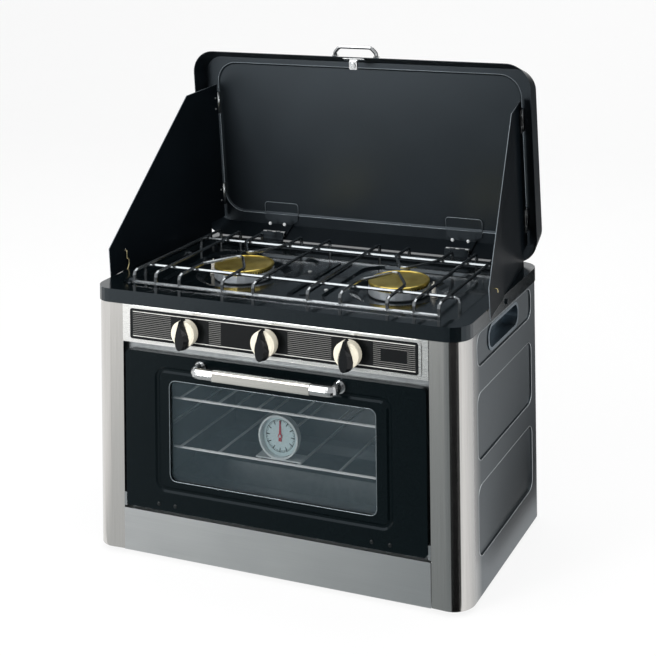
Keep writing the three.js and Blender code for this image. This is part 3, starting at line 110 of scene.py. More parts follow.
def start(name):
    """A new material, with no nodes yet."""
    material = bpy.data.materials.new(name)
    material.use_nodes = True
    material.node_tree.nodes.clear()
    return material


def end(material, surface):
    """Joins a shader to the material's output."""
    put(material, "OutputMaterial", {"Surface": surface.outputs[0]})
    return material


def mesh_piece(name, points, faces, material, body=None, smooth=False):
    """A new mesh object from points and faces, riding on a body of the stove."""
    mesh = bpy.data.meshes.new(name)
    mesh.from_pydata([tuple(p) for p in points], [], faces)
    mesh.materials.append(material)
    for face in mesh.polygons:
        face.use_smooth = smooth
    piece = bpy.data.objects.new(name, mesh)
    bpy.context.collection.objects.link(piece)
    if body:
        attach(piece, body)
    return piece


paper = start("studio_paper")
fibre = put(paper, "TexNoise", {"Scale": 2 * roll_half_width / fibre_cloud, "Detail": 3.0})
paper_ramp = ((0.0, "#f1f1f0"), (1.0, "#f6f6f5"))
paper_shade = put(paper, "ValToRGB", {"Fac": fibre.outputs["Fac"]}, paper_ramp)
lit = put(paper, "BsdfDiffuse", {"Color": paper_shade.outputs["Color"]})
glow = put(paper, "Emission", {"Color": tint("#ffffff"), "Strength": 1.0})
rays = put(paper, "LightPath").outputs
looks = {0: rays["Is Camera Ray"], 1: rays["Is Glossy Ray"]}
seen = put(paper, "Math", looks, operation="ADD")
looks_through = {0: seen.outputs[0], 1: rays["Is Transmission Ray"]}
seen_all = put(paper, "Math", looks_through, operation="ADD", use_clamp=True)
lifted = put(paper, "Math", {0: seen_all.outputs[0], 1: paper_glow}, operation="MULTIPLY")
end(paper, put(paper, "MixShader", {0: lifted.outputs[0], 1: lit.outputs[0], 2: glow.outputs[0]}))

roll_line = [(roll_front, 0.0), (bend_start, 0.0)]
for step in range(1, bend_steps + 1):
    turn = step * math.pi / (2 * bend_steps)
    bend_y = bend_start + bend_radius * math.sin(turn)
    roll_line.append((bend_y, bend_radius - bend_radius * math.cos(turn)))
roll_line.append((bend_start + bend_radius, roll_top))
roll_points = [(x, y, z) for y, z in roll_line for x in (-roll_half_width, roll_half_width)]
roll_faces = [(2 * i, 2 * i + 1, 2 * i + 3, 2 * i + 2) for i in range(len(roll_line) - 1)]
sweep = mesh_piece("studio_sweep", roll_points, roll_faces, paper, smooth=True)

# Lights: a plain bright room, which looks white past the paper's edge, and four soft boxes.
# A large one hangs high at the front left and a small one below it reaches into the oven. A
# narrow one stands at the right, and one hangs behind and above the lid
room_strength = 0.62
room_strength_seen = 1.0

world = bpy.data.worlds.new("studio_air")
bpy.context.scene.world = world
world.use_nodes = True
room = world.node_tree.nodes["Background"]
room.inputs["Color"].default_value = tint("#f4f6f8")
room_seen = put(world, "LightPath").outputs["Is Camera Ray"]
room_range = {"Value": room_seen, "To Min": room_strength, "To Max": room_strength_seen}
room_light = put(world, "MapRange", room_range)
world.node_tree.links.new(room_light.outputs[0], room.inputs["Strength"])


def soft_box(name, place, aim, width, height, watts):
    """A rectangular lamp at a place, facing a point of the stove."""
    lamp_data = bpy.data.lights.new(name, "AREA")
    lamp_data.shape = "RECTANGLE"
    lamp_data.size = width
    lamp_data.size_y = height
    lamp_data.energy = watts
    lamp = bpy.data.objects.new(name, lamp_data)
    lamp.location = place
    lamp.rotation_euler = (Vector(aim) - Vector(place)).to_track_quat("-Z", "Y").to_euler()
    bpy.context.collection.objects.link(lamp)


soft_box("key_box", (-1.5, -1.9, 1.9), aim=(0, 0, 0.25), width=2.4, height=1.9, watts=36)
soft_box("oven_box", (-0.75, -1.7, 0.55), aim=(0, 0, 0.18), width=0.5, height=0.5, watts=20)
soft_box("side_box", (2.3, -0.3, 1.2), aim=(0.1, 0, 0.25), width=0.8, height=1.4, watts=14)
soft_box("top_box", (0.1, 0.6, 2.3), aim=(0, 0, 0.35), width=2.6, height=1.8, watts=26)

# Cards that show only in reflections: black felt and graded grey board. A felt wedge lies off
# the front corner and draws the dark band down it. Two more, one lying and one standing, darken
# the right side, and the grey board on the floor lets the front's steel fall off in tone
felt_z = 3 * MM
board_z = 2 * MM
front_edge = -0.151
corner_x = 0.249
far_y = 2.1
wall_left = 0.2
wall_right = 1.3
wall_top = 2.0
board_left = -1.8
board_near = -2.3


def card_of(material, name, corners):
    """A card that no camera, shadow or diffuse ray meets."""
    card = mesh_piece(name, corners, [tuple(range(len(corners)))], material)
    card.visible_camera = False
    card.visible_diffuse = False
    card.visible_shadow = False
    card.visible_transmission = False


# The felt's nap is finer than a millimetre and drawn 7 mm wide, on a card two metres long
nap_width = 7 * MM
felt = start("black_felt_card")
nap = put(felt, "TexNoise", {"Scale": far_y / nap_width, "Detail": 2.0})
felt_ramp = ((0.0, "#050505"), (1.0, "#0b0b0c"))
felt_shade = put(felt, "ValToRGB", {"Fac": nap.outputs["Fac"]}, felt_ramp)
end(felt, put(felt, "BsdfDiffuse", {"Color": felt_shade.outputs["Color"]}))

wedge = [(corner_x, front_edge), (0.375, -2.55), (1.46, -2.24), (2.3, -1.43), (0.263, -0.146)]
card_of(felt, "corner_card", [(x, y, felt_z) for x, y in wedge])
beside = [(0.295, -0.03), (0.59, 0.83), (1.03, far_y), (0.29, far_y)]
card_of(felt, "side_floor_card", [(x, y, felt_z) for x, y in beside])
upright = [(wall_left, felt_z), (wall_right, felt_z), (wall_right, wall_top), (wall_left, wall_top)]
card_of(felt, "side_wall_card", [(x, far_y, z) for x, z in upright])

# The board's tone runs from white at the left to grey at the right, along slanting lines
board_slant = -0.39
board_ramp = (
    (0.0, "#ffffff"),
    (1.0, "#82888a"),
    (0.2, "#efefee"),
    (0.36, "#cdcfcf"),
    (0.66, "#aeb2b2"),
)
graded = start("graded_grey_card")
board_spot = put(graded, "TexCoord")
board_axes = put(graded, "SeparateXYZ", {0: board_spot.outputs["Object"]}).outputs
board_back = put(graded, "Math", {0: board_axes["Y"], 1: board_slant}, operation="MULTIPLY")
board_line = put(graded, "Math", {0: board_axes["X"], 1: board_back.outputs[0]})
board_range = {"Value": board_line.outputs[0], "From Min": -0.5, "From Max": 0.32}
board_share = put(graded, "MapRange", board_range)
board_shade = put(graded, "ValToRGB", {"Fac": board_share.outputs[0]}, board_ramp)
end(graded, put(graded, "Emission", {"Color": board_shade.outputs["Color"]}))
board_right = 0.36
before = [(board_left, front_edge), (corner_x, front_edge)]
before += [(board_right, board_near), (board_left, board_near)]
card_of(graded, "front_card", [(x, y, board_z) for x, y in before])

# Body front: folded from brushed stainless steel sheet, the kick panel below the door and the
# brighter control panel above it. Its brushing runs along the front in fine streaks, which
# are 0.05 mm apart on the real one and drawn 0.5 mm apart
streak_width = 0.5
streak_length = 60
steel_cloud = 90
streak_smoother = 0.05
streak_rougher = 0.08


def grains(material, x_mm, y_mm=None, z_mm=None):
    """Object coordinates counted in grains, of one width in millimetres or one for each axis."""
    where = put(material, "TexCoord")
    size = put(material, "Mapping", {"Vector": where.outputs["Object"]})
    widths = (x_mm, y_mm or x_mm, z_mm or x_mm)
    size.inputs["Scale"].default_value = [1 / (width * MM) for width in widths]
    return size.outputs["Vector"]


def dress(material, *nodes):
    """Gives nodes of the stove their material."""
    for node in nodes:
        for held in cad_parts[node].material_slots:
            held.material = material


def brushed_steel(name, dark, light, roughness, along="X"):
    """Brushed stainless steel, streaked along one axis."""
    steel = start(name)
    widths = [streak_width] * 3
    widths["XYZ".index(along)] = streak_length
    streak_feeds = {"Vector": grains(steel, *widths), "Scale": 1.0, "Detail": 2.0}
    streaks = put(steel, "TexNoise", streak_feeds).outputs["Fac"]
    cloud_feeds = {"Vector": grains(steel, steel_cloud), "Scale": 1.0, "Detail": 2.0}
    cloud = put(steel, "TexNoise", cloud_feeds).outputs["Fac"]
    blend = put(steel, "Mix", {0: 0.5, 2: streaks, 3: cloud})
    ramp = ((0.25, dark), (0.75, light))
    shade = put(steel, "ValToRGB", {"Fac": blend.outputs[0]}, ramp)
    low, high = roughness - streak_smoother, roughness + streak_rougher
    rough = put(steel, "MapRange", {"Value": streaks, "To Min": low, "To Max": high})
    relief = put(steel, "Bump", {"Height": streaks, "Strength": 0.06, "Distance": 0.02 * MM})
    shader_feeds = {
        "Base Color": shade.outputs["Color"],
        "Metallic": 1.0,
        "Roughness": rough.outputs[0],
        "Normal": relief.outputs[0],
    }
    return end(steel, put(steel, "BsdfPrincipled", shader_feeds))


def eased(*nodes, width_mm, segments=2):
    """Rounds the sharp edges of sheet pieces by a width in millimetres, as pressing does."""
    for node in nodes:
        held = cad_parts[node]
        edge = held.modifiers.new("eased_edges", "BEVEL")
        edge.width = width_mm * MM
        edge.segments = segments
        edge.limit_method = "ANGLE"
        edge.angle_limit = math.radians(32)
        edge.use_clamp_overlap = True
        edge.harden_normals = True
        for face in held.data.polygons:
            face.use_smooth = True


kick_steel = brushed_steel("brushed_stainless_kick", "#bcbebf", "#c9cbcb", roughness=0.34)
dress(kick_steel, "kick_panel")
border_steel = brushed_steel("bright_stainless_border", "#dcdcda", "#ececea", roughness=0.26)
dress(border_steel, "control_panel")
eased("kick_panel", "control_panel", width_mm=0.35)

# Side wraps and back: one sheet of stainless steel for each side, bent round the front corner.
# The stile and corner are bare, brushed upwards, and behind them the sheet is coated with a
# dark silver lacquer, glossy enough to show its pressed edges and a faint orange peel
bare_to = 8
coated_from = 52
upright_streak = 80
lacquer_flake = 1.2
lacquer_peel = 2.5

wrap = start("steel_and_grey_lacquer")
wrap_spot = put(wrap, "TexCoord")
wrap_axes = put(wrap, "SeparateXYZ", {0: wrap_spot.outputs["Object"]})
front_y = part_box("kick_panel")[0][1]
# The blend from bare steel to lacquer runs soft over 44 mm: partly the lacquer's edge, partly
# painted shade, the tone falling off round the front corner
lacquer_range = {
    "Value": wrap_axes.outputs["Y"],
    "From Min": front_y + bare_to * MM,
    "From Max": front_y + coated_from * MM,
}
lacquer = put(wrap, "MapRange", lacquer_range).outputs[0]
streaks_up = grains(wrap, streak_width, streak_width, upright_streak)
lines_up = put(wrap, "TexNoise", {"Vector": streaks_up, "Scale": 1.0, "Detail": 2.0})
bare_ramp = ((0.3, "#c9c7c4"), (0.7, "#d3d1ce"))
bare_shade = put(wrap, "ValToRGB", {"Fac": lines_up.outputs["Fac"]}, bare_ramp)
flake_feeds = {"Vector": grains(wrap, lacquer_flake), "Scale": 1.0, "Detail": 3.0}
flake = put(wrap, "TexNoise", flake_feeds)
lacquer_ramp = ((0.0, "#565c60"), (1.0, "#636a6f"))
lacquer_shade = put(wrap, "ValToRGB", {"Fac": flake.outputs["Fac"]}, lacquer_ramp)
both_feeds = {0: lacquer, 6: bare_shade.outputs["Color"], 7: lacquer_shade.outputs["Color"]}
both = put(wrap, "Mix", both_feeds, data_type="RGBA")
peel = put(wrap, "TexNoise", {"Vector": grains(wrap, lacquer_peel), "Scale": 1.0, "Detail": 1.0})
peel_feeds = {"Height": peel.outputs["Fac"], "Strength": 0.05, "Distance": 0.05 * MM}
peel_bump = put(wrap, "Bump", peel_feeds)
gloss = put(wrap, "MapRange", {"Value": lacquer, "To Min": 0.2, "To Max": 0.34})
wrap_feeds = {
    "Base Color": both.outputs[2],
    "Metallic": 1.0,
    "Roughness": gloss.outputs[0],
    "Normal": peel_bump.outputs[0],
}
end(wrap, put(wrap, "BsdfPrincipled", wrap_feeds))
dress(wrap, "left_side_wrap", "right_side_wrap", "back_panel")
eased("left_side_wrap", "right_side_wrap", "back_panel", width_mm=0.35)

# Base pan, oven liner, inner door frame and gas pipes: zinc plated steel, pressed, folded or
# drawn. It is a dull grey metal, with a faint crystal spangle 7 mm wide under cloudy patches
spangle_width = 7
zinc_patch = 30

zinc = start("zinc_plated_steel")
spangle = put(zinc, "TexVoronoi", {"Vector": grains(zinc, spangle_width), "Scale": 1.0})
patch_feeds = {"Vector": grains(zinc, zinc_patch), "Scale": 1.0, "Detail": 4.0}
patches = put(zinc, "TexNoise", patch_feeds).outputs["Fac"]
zinc_mix = put(zinc, "Mix", {0: 0.3, 2: patches, 3: spangle.outputs["Distance"]})
zinc_ramp = ((0.0, "#74787a"), (1.0, "#a3a7a8"))
zinc_shade = put(zinc, "ValToRGB", {"Fac": zinc_mix.outputs[0]}, zinc_ramp)
zinc_rough = put(zinc, "MapRange", {"Value": patches, "To Min": 0.38, "To Max": 0.58})
zinc_feeds = {
    "Base Color": zinc_shade.outputs["Color"],
    "Metallic": 1.0,
    "Roughness": zinc_rough.outputs[0],
}
end(zinc, put(zinc, "BsdfPrincipled", zinc_feeds))
dress(zinc, "base_pan", "gas_manifold", "left_hob_feed", "right_hob_feed", "oven_feed")
dress(zinc, "oven_burner", "flame_spreader", "door_inner_frame", "oven_liner")

# Burner cups: die cast aluminium, dropped into the hob's wells. It is pale and slightly blue,
# with a sandy skin, drawn one millimetre wide, that keeps it from mirroring
cast_sand = 1


def mottled(name, dark, light, grain_mm, detail, roughness, metallic=0.0, specular=0.5, relief=()):
    """A finish mottled by grains of one width in millimetres.

    Roughness is one value, or two between which it follows the grains. Relief, for a skin
    that isn't smooth, is the strength and the depth in millimetres of its bumps.
    """
    finish = start(name)
    grain_feeds = {"Vector": grains(finish, grain_mm), "Scale": 1.0, "Detail": detail}
    mottle = put(finish, "TexNoise", grain_feeds).outputs["Fac"]
    shade = put(finish, "ValToRGB", {"Fac": mottle}, ((0.0, dark), (1.0, light)))
    shader_feeds = {
        "Base Color": shade.outputs["Color"],
        "Metallic": metallic,
        "Roughness": roughness,
        "Specular IOR Level": specular,
    }
    if isinstance(roughness, tuple):
        low, high = roughness
        rough = put(finish, "MapRange", {"Value": mottle, "To Min": low, "To Max": high})
        shader_feeds["Roughness"] = rough.outputs[0]
    if relief:
        strength, depth = relief
        skin = {"Height": mottle, "Strength": strength, "Distance": depth * MM}
        shader_feeds["Normal"] = put(finish, "Bump", skin).outputs[0]
    return end(finish, put(finish, "BsdfPrincipled", shader_feeds))


cast_skin = {"detail": 4.0, "roughness": 0.42, "metallic": 0.75, "relief": (0.2, 0.08)}
aluminium = mottled("cast_aluminium", "#b4bcc3", "#dde3e7", cast_sand, **cast_skin)
dress(aluminium, "left_burner_cup", "right_burner_cup")
eased("left_burner_cup", "right_burner_cup", width_mm=0.3)

# Carrying cups: deep drawn from stainless steel sheet and clipped into the side walls. The
# draw polishes the steel, so it is smoother and shows a bluer grey than the walls
cup_steel = brushed_steel("drawn_steel_cup", "#6f7b84", "#8f9aa2", roughness=0.3, along="Y")
dress(cup_steel, "left_carry_cup", "right_carry_cup")
eased("left_carry_cup", "right_carry_cup", width_mm=0.5)

# Feet: moulded black rubber, pushed into the base pan. They are dull, with a rough skin and
# specks of dust a millimetre and a half wide
rubber_dust = 1.5
rubber_skin = {"detail": 5.0, "roughness": 0.8, "relief": (0.3, 0.1)}
rubber = mottled("moulded_rubber", "#111111", "#232322", rubber_dust, **rubber_skin)
dress(rubber, "left_front_foot", "right_front_foot", "left_rear_foot", "right_rear_foot")

# Hob and oven door: pressed steel under vitreous enamel, a black glass fused on in a kiln. It is
# very smooth, with a faint orange peel and the odd lighter speck in the melt. The door's copy is a
# shade darker, a little rougher and far less reflective, painted shade that keeps its front as dark
# as it looks
enamel_wave = 6
enamel_speck = 0.6
black_sheen = "#dcebf6"


def fired_enamel(name, dark, light, specular, roughness):
    """Black glass on steel, with a faint wave in its surface and specks in its melt."""
    low, high = roughness
    glaze = start(name)
    wave_feeds = {"Vector": grains(glaze, enamel_wave), "Scale": 1.0, "Detail": 2.0}
    wave = put(glaze, "TexNoise", wave_feeds).outputs["Fac"]
    speck_feeds = {"Vector": grains(glaze, enamel_speck), "Scale": 1.0, "Detail": 1.0}
    speck = put(glaze, "TexNoise", speck_feeds)
    shade = put(glaze, "ValToRGB", {"Fac": speck.outputs["Fac"]}, ((0.45, dark), (0.8, light)))
    relief = put(glaze, "Bump", {"Height": wave, "Strength": 0.08, "Distance": 0.15 * MM})
    rough = put(glaze, "MapRange", {"Value": wave, "To Min": low, "To Max": high})
    shader_feeds = {
        "Base Color": shade.outputs["Color"],
        "Roughness": rough.outputs[0],
        "Specular IOR Level": specular,
        "Specular Tint": tint(black_sheen),
        "Normal": relief.outputs[0],
    }
    return end(glaze, put(glaze, "BsdfPrincipled", shader_feeds))


hob_fire = {"specular": 0.6, "roughness": (0.1, 0.18)}
# The door's copy: a darker black with a weak reflection, painted shade
door_shaded_fire = {"specular": 0.14, "roughness": (0.14, 0.24)}
dress(fired_enamel("gloss_black_enamel", "#060a0c", "#10171a", **hob_fire), "hob_tray")
dress(fired_enamel("door_enamel_painted_shade", "#04090b", "#0b1214", **door_shaded_fire), "door_panel")
eased("hob_tray", "door_panel", width_mm=0.45)

# Burner caps and gas valves: turned from brass, with fine lathe rings round each cap and clouds of
# heat tint. The skirt under a cap's edge is pierced all round by small flame ports, drawn as dark
# brown marks: painted shade for the dark inside each hole. The rings are 0.1 mm apart on a real cap
# and drawn 0.7 mm apart
lathe_ring = 0.7
heat_cloud = 22
port_count = 64
port_width = 0.045
skirt_reach = 38.6
skirt_drop = 3.8

brass = start("turned_brass")
brass_spot = put(brass, "TexCoord")
brass_axes = put(brass, "SeparateXYZ", {0: brass_spot.outputs["Object"]}).outputs
cap_low, cap_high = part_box("right_burner_cap")
cap_x = (cap_low[0] + cap_high[0]) / 2
cap_y = (cap_low[1] + cap_high[1]) / 2
folded = put(brass, "Math", {0: brass_axes["X"]}, operation="ABSOLUTE")
from_x = put(brass, "Math", {0: folded.outputs[0], 1: cap_x}, operation="SUBTRACT").outputs[0]
from_y = put(brass, "Math", {0: brass_axes["Y"], 1: cap_y}, operation="SUBTRACT").outputs[0]
flat = put(brass, "CombineXYZ", {"X": from_x, "Y": from_y})
reach = put(brass, "VectorMath", {0: flat.outputs[0]}, operation="LENGTH").outputs["Value"]
turns = put(brass, "Math", {0: reach, 1: 1 / (lathe_ring * MM)}, operation="MULTIPLY")
ring_feeds = {"W": turns.outputs[0], "Scale": 1.0, "Detail": 2.0}
ring = put(brass, "TexNoise", ring_feeds, noise_dimensions="1D").outputs["Fac"]
heat = put(brass, "TexNoise", {"Vector": grains(brass, heat_cloud), "Scale": 1.0})
brass_blend = put(brass, "Mix", {0: 0.6, 2: ring, 3: heat.outputs["Fac"]})
brass_ramp = ((0.3, "#c4a63c"), (0.72, "#f3df85"))
brass_shade = put(brass, "ValToRGB", {"Fac": brass_blend.outputs[0]}, brass_ramp)

# Flame ports: dark marks on the skirt, painted shade for the holes
port_angle = put(brass, "Math", {0: from_y, 1: from_x}, operation="ARCTAN2")
port_pitch = {0: port_angle.outputs[0], 1: 2 * math.pi / port_count}
port_turn = put(brass, "Math", port_pitch, operation="FLOORED_MODULO")
port_gap = put(brass, "Math", {0: port_turn.outputs[0], 1: port_width}, operation="LESS_THAN")
in_reach = put(brass, "Math", {0: reach, 1: skirt_reach * MM}, operation="LESS_THAN")
edge_level = {0: brass_axes["Z"], 1: cap_high[2] - skirt_drop * MM}
under_edge = put(brass, "Math", edge_level, operation="LESS_THAN")
on_skirt = {0: in_reach.outputs[0], 1: under_edge.outputs[0]}
skirt = put(brass, "Math", on_skirt, operation="MULTIPLY")
port = put(brass, "Math", {0: port_gap.outputs[0], 1: skirt.outputs[0]}, operation="MULTIPLY")
pierced_feeds = {0: port.outputs[0], 6: brass_shade.outputs["Color"], 7: tint("#2b220b")}
pierced = put(brass, "Mix", pierced_feeds, data_type="RGBA")
ring_bump = put(brass, "Bump", {"Height": ring, "Strength": 0.12, "Distance": 0.05 * MM})
brass_feeds = {
    "Base Color": pierced.outputs[2],
    "Metallic": 1.0,
    "Roughness": 0.36,
    "Normal": ring_bump.outputs[0],
}
end(brass, put(brass, "BsdfPrincipled", brass_feeds))
dress(brass, "left_burner_cap", "right_burner_cap")
dress(brass, "left_gas_valve", "middle_gas_valve", "right_gas_valve")
eased("left_burner_cap", "right_burner_cap", width_mm=0.3)

# Igniters: a glazed ceramic sleeve round a wire, clamped beside each burner cup. The glaze is
# smooth and off-white, browned a little by the flame in patches two millimetres wide
browned_patch = 2
ceramic = mottled("glazed_ceramic", "#cfc9bb", "#f0ede6", browned_patch, detail=4.0, roughness=0.25)
dress(ceramic, "left_igniter", "right_igniter")

# Wire forms and small castings: steel, chrome plated on the lid's handle and latch and on the door
# handle's brackets. The pan grate's wire is a darker, rougher copy of the chrome, painted shade
# that tones down its reflections. The thermometer case is brushed, and the oven racks are near
# white and barely metallic, a painted highlight for the glints of their wire in the dim oven
wire_wave = 3


def plated(name, dark, light, metallic, roughness):
    """A plated finish, with the faint waves that drawing leaves in the wire."""
    skin = {"detail": 3.0, "roughness": roughness, "metallic": metallic, "relief": (0.05, 0.05)}
    return mottled(name, dark, light, wire_wave, **skin)


chrome_skin = {"metallic": 1.0, "roughness": (0.14, 0.26)}
case_skin = {"metallic": 0.3, "roughness": (0.3, 0.4)}
# The grate's darker chrome is painted shade, and the racks' near-white finish is a painted
# highlight
grate_shaded_skin = {"metallic": 1.0, "roughness": (0.2, 0.3)}
rack_highlight_skin = {"metallic": 0.2, "roughness": (0.25, 0.35)}
chrome = plated("bright_chrome_plate", "#b6b9bc", "#d4d4d3", **chrome_skin)
case_metal = plated("brushed_thermometer_case", "#c3cbcc", "#e6ecec", **case_skin)
grate_shaded_chrome = plated("painted_shade_on_grate_wire", "#868a8d", "#a9adaf", **grate_shaded_skin)
rack_highlight_wire = plated("painted_highlight_on_racks", "#e6eaea", "#fcfdfd", **rack_highlight_skin)
dress(chrome, "lid_handle", "lid_latch", "latch_bracket")
dress(chrome, "left_handle_bracket", "right_handle_bracket")
dress(case_metal, "thermometer_case")
dress(grate_shaded_chrome, "pan_grate")
dress(rack_highlight_wire, "lower_rack", "upper_rack")
eased("left_handle_bracket", "right_handle_bracket", width_mm=0.5, segments=3)
eased("latch_bracket", "lid_latch", width_mm=0.5, segments=3)

# Door handle bar: a stainless steel bar between the two brackets, ground flat and polished.
# It is nearly white, with faint lengthwise polish lines
bar_steel = brushed_steel("polished_handle_steel", "#dcd9d2", "#efece6", roughness=0.2)
dress(bar_steel, "handle_bar")
eased("handle_bar", width_mm=1.2, segments=4)

# Fascia: a strip of black plastic, moulded matt and screen printed, set into the control
# panel. Fine pale lines are printed across it in four blocks, between two thicker rules, with
# a plain patch in the last block
print_margin = 6.2
rule_outer = 3.4
rule_inner = 4.4
line_pitch = 2.45
line_width = 0.75
print_end = 205
block_ends = ((-print_end, -146), (-88, -70), (28, 90), (148, print_end))
patch_left = 158
patch_right = 194
patch_margin = 7
fine_ink = 0.28
fascia_tooth = 0.8

fascia = start("printed_black_plastic")
fascia_low, fascia_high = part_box("control_fascia")
print_spot = put(fascia, "TexCoord")
print_axes = put(fascia, "SeparateXYZ", {0: print_spot.outputs["Object"]}).outputs
across = print_axes["X"]
up = print_axes["Z"]
print_low = fascia_low[2] + print_margin * MM
print_high = fascia_high[2] - print_margin * MM


def between(material, value, low, high):
    """One inside a range of a value, zero outside it."""
    above = put(material, "Math", {0: value, 1: low}, operation="GREATER_THAN").outputs[0]
    below = put(material, "Math", {0: value, 1: high}, operation="LESS_THAN").outputs[0]
    return put(material, "Math", {0: above, 1: below}, operation="MULTIPLY").outputs[0]


def many(material, operation, *values):
    """Folds values with one operation: MULTIPLY keeps where all are one, MAXIMUM where any is."""
    whole = values[0]
    for value in values[1:]:
        whole = put(material, "Math", {0: whole, 1: value}, operation=operation).outputs[0]
    return whole


from_low = put(fascia, "Math", {0: up, 1: print_low}, operation="SUBTRACT")
row = put(fascia, "Math", {0: from_low.outputs[0], 1: line_pitch * MM}, operation="FLOORED_MODULO")
line = put(fascia, "Math", {0: row.outputs[0], 1: line_width * MM}, operation="LESS_THAN")
blocks = [between(fascia, across, left * MM, right * MM) for left, right in block_ends]
in_block = many(fascia, "MAXIMUM", *blocks)
patch_across = between(fascia, across, patch_left * MM, patch_right * MM)
patch_low = print_low + patch_margin * MM
patch_up = between(fascia, up, patch_low, print_high - patch_margin * MM)
in_patch = many(fascia, "MULTIPLY", patch_across, patch_up)
off_patch = put(fascia, "Math", {0: 1.0, 1: in_patch}, operation="SUBTRACT").outputs[0]
in_print = between(fascia, up, print_low, print_high)
fine = many(fascia, "MULTIPLY", line.outputs[0], in_block, off_patch, in_print)

low_rule = (fascia_low[2] + rule_outer * MM, fascia_low[2] + rule_inner * MM)
high_rule = (fascia_high[2] - rule_inner * MM, fascia_high[2] - rule_outer * MM)
rules = many(fascia, "MAXIMUM", *[between(fascia, up, *rule) for rule in (low_rule, high_rule)])
in_width = between(fascia, across, -print_end * MM, print_end * MM)
ruled = many(fascia, "MULTIPLY", rules, in_width)
fine_share = put(fascia, "Math", {0: fine, 1: fine_ink}, operation="MULTIPLY").outputs[0]
ink = many(fascia, "MAXIMUM", fine_share, ruled)

tooth_feeds = {"Vector": grains(fascia, fascia_tooth), "Scale": 1.0, "Detail": 3.0}
tooth = put(fascia, "TexNoise", tooth_feeds).outputs["Fac"]
ground = put(fascia, "ValToRGB", {"Fac": tooth}, ((0.0, "#060809"), (1.0, "#101315")))
printed_feeds = {0: ink, 6: ground.outputs["Color"], 7: tint("#c2c1bd")}
printed = put(fascia, "Mix", printed_feeds, data_type="RGBA")
tooth_bump = put(fascia, "Bump", {"Height": tooth, "Strength": 0.1, "Distance": 0.03 * MM})
fascia_feeds = {
    "Base Color": printed.outputs[2],
    "Roughness": 0.4,
    "Specular IOR Level": 0.12,
    "Normal": tooth_bump.outputs[0],
}
end(fascia, put(fascia, "BsdfPrincipled", fascia_feeds))
dress(fascia, "control_fascia")

# Knobs: a cream melamine dial with a black phenolic grip pressed into it, both moulded, on
# each valve's stem. The dial is satin with faint clouds, the grip glossy with fine flecks
cream_cloud = 5
phenolic_fleck = 0.9
cream_skin = {"detail": 4.0, "roughness": 0.3, "relief": (0.06, 0.05)}
grip_skin = {"detail": 3.0, "roughness": 0.24, "specular": 0.3, "relief": (0.08, 0.04)}
cream = mottled("cream_melamine", "#cfc8b4", "#ddd7c6", cream_cloud, **cream_skin)
dress(cream, "left_knob_dial", "middle_knob_dial", "right_knob_dial")
phenolic = mottled("black_phenolic", "#040608", "#0a0d10", phenolic_fleck, **grip_skin)
dress(phenolic, "left_knob_grip", "middle_knob_grip", "right_knob_grip")
eased("left_knob_grip", "middle_knob_grip", "right_knob_grip", width_mm=0.8, segments=3)
eased("left_knob_dial", "middle_knob_dial", "right_knob_dial", width_mm=0.6, segments=3)

# Lid, windshields and lid hinge leaves: pressed and folded steel sheet in black stove paint.
# The paint is baked satin, with a light orange peel and a cloudy grey bloom. The windshields' copy
# reflects far less, painted shade that keeps them as dark as they look
paint_peel = 1.6
paint_bloom = 70


def baked_paint(name, specular):
    """Black stove paint, with a fine peel under a cloudy bloom."""
    paint = start(name)
    peel_feeds = {"Vector": grains(paint, paint_peel), "Scale": 1.0, "Detail": 2.0}
    fine_peel = put(paint, "TexNoise", peel_feeds).outputs["Fac"]
    bloom_feeds = {"Vector": grains(paint, paint_bloom), "Scale": 1.0, "Detail": 3.0}
    bloom = put(paint, "TexNoise", bloom_feeds).outputs["Fac"]
    blend = put(paint, "Mix", {0: 0.5, 2: fine_peel, 3: bloom})
    ramp = ((0.0, "#06090c"), (1.0, "#11171c"))
    shade = put(paint, "ValToRGB", {"Fac": blend.outputs[0]}, ramp)
    relief = put(paint, "Bump", {"Height": fine_peel, "Strength": 0.12, "Distance": 0.06 * MM})
    rough = put(paint, "MapRange", {"Value": bloom, "To Min": 0.3, "To Max": 0.42})
    shader_feeds = {
        "Base Color": shade.outputs["Color"],
        "Roughness": rough.outputs[0],
        "Specular IOR Level": specular,
        "Specular Tint": tint(black_sheen),
        "Normal": relief.outputs[0],
    }
    return end(paint, put(paint, "BsdfPrincipled", shader_feeds))


lid_paint = baked_paint("baked_black_paint", specular=0.4)
dress(lid_paint, "lid_shell")
dress(lid_paint, "left_lid_leaf", "right_lid_leaf", "left_base_leaf", "right_base_leaf")
# The windshields' copy has a weak reflection: painted shade
windshield_shade_paint = baked_paint("painted_shade_on_windshields", specular=0.1)
dress(windshield_shade_paint, "left_windshield", "right_windshield")
eased("lid_shell", "left_windshield", "right_windshield", width_mm=0.4)

# Window: a pane of tempered oven glass with a smoke tint, held behind the door's front. It is
# thin enough to be seen through: most of what shows in it is the lit oven behind, under a
# faint sheen with wipe marks 50 mm wide
wipe_width = 50

glass = start("smoked_glass_and_painted_sheen")
wipe = put(glass, "TexNoise", {"Vector": grains(glass, wipe_width), "Scale": 1.0, "Detail": 3.0})
wipe_range = {"Value": wipe.outputs["Fac"], "To Min": 0.02, "To Max": 0.07}
# The pane's own blue-grey, a quarter opaque, is partly its smoke tint and partly a painted
# reflection, the soft grey sheen across the window
glass_feeds = {
    "Base Color": tint("#3a474d"),
    "Roughness": put(glass, "MapRange", wipe_range).outputs[0],
    "Specular IOR Level": 0.35,
    "Alpha": 0.26,
}
end(glass, put(glass, "BsdfPrincipled", glass_feeds))
dress(glass, "door_glass")

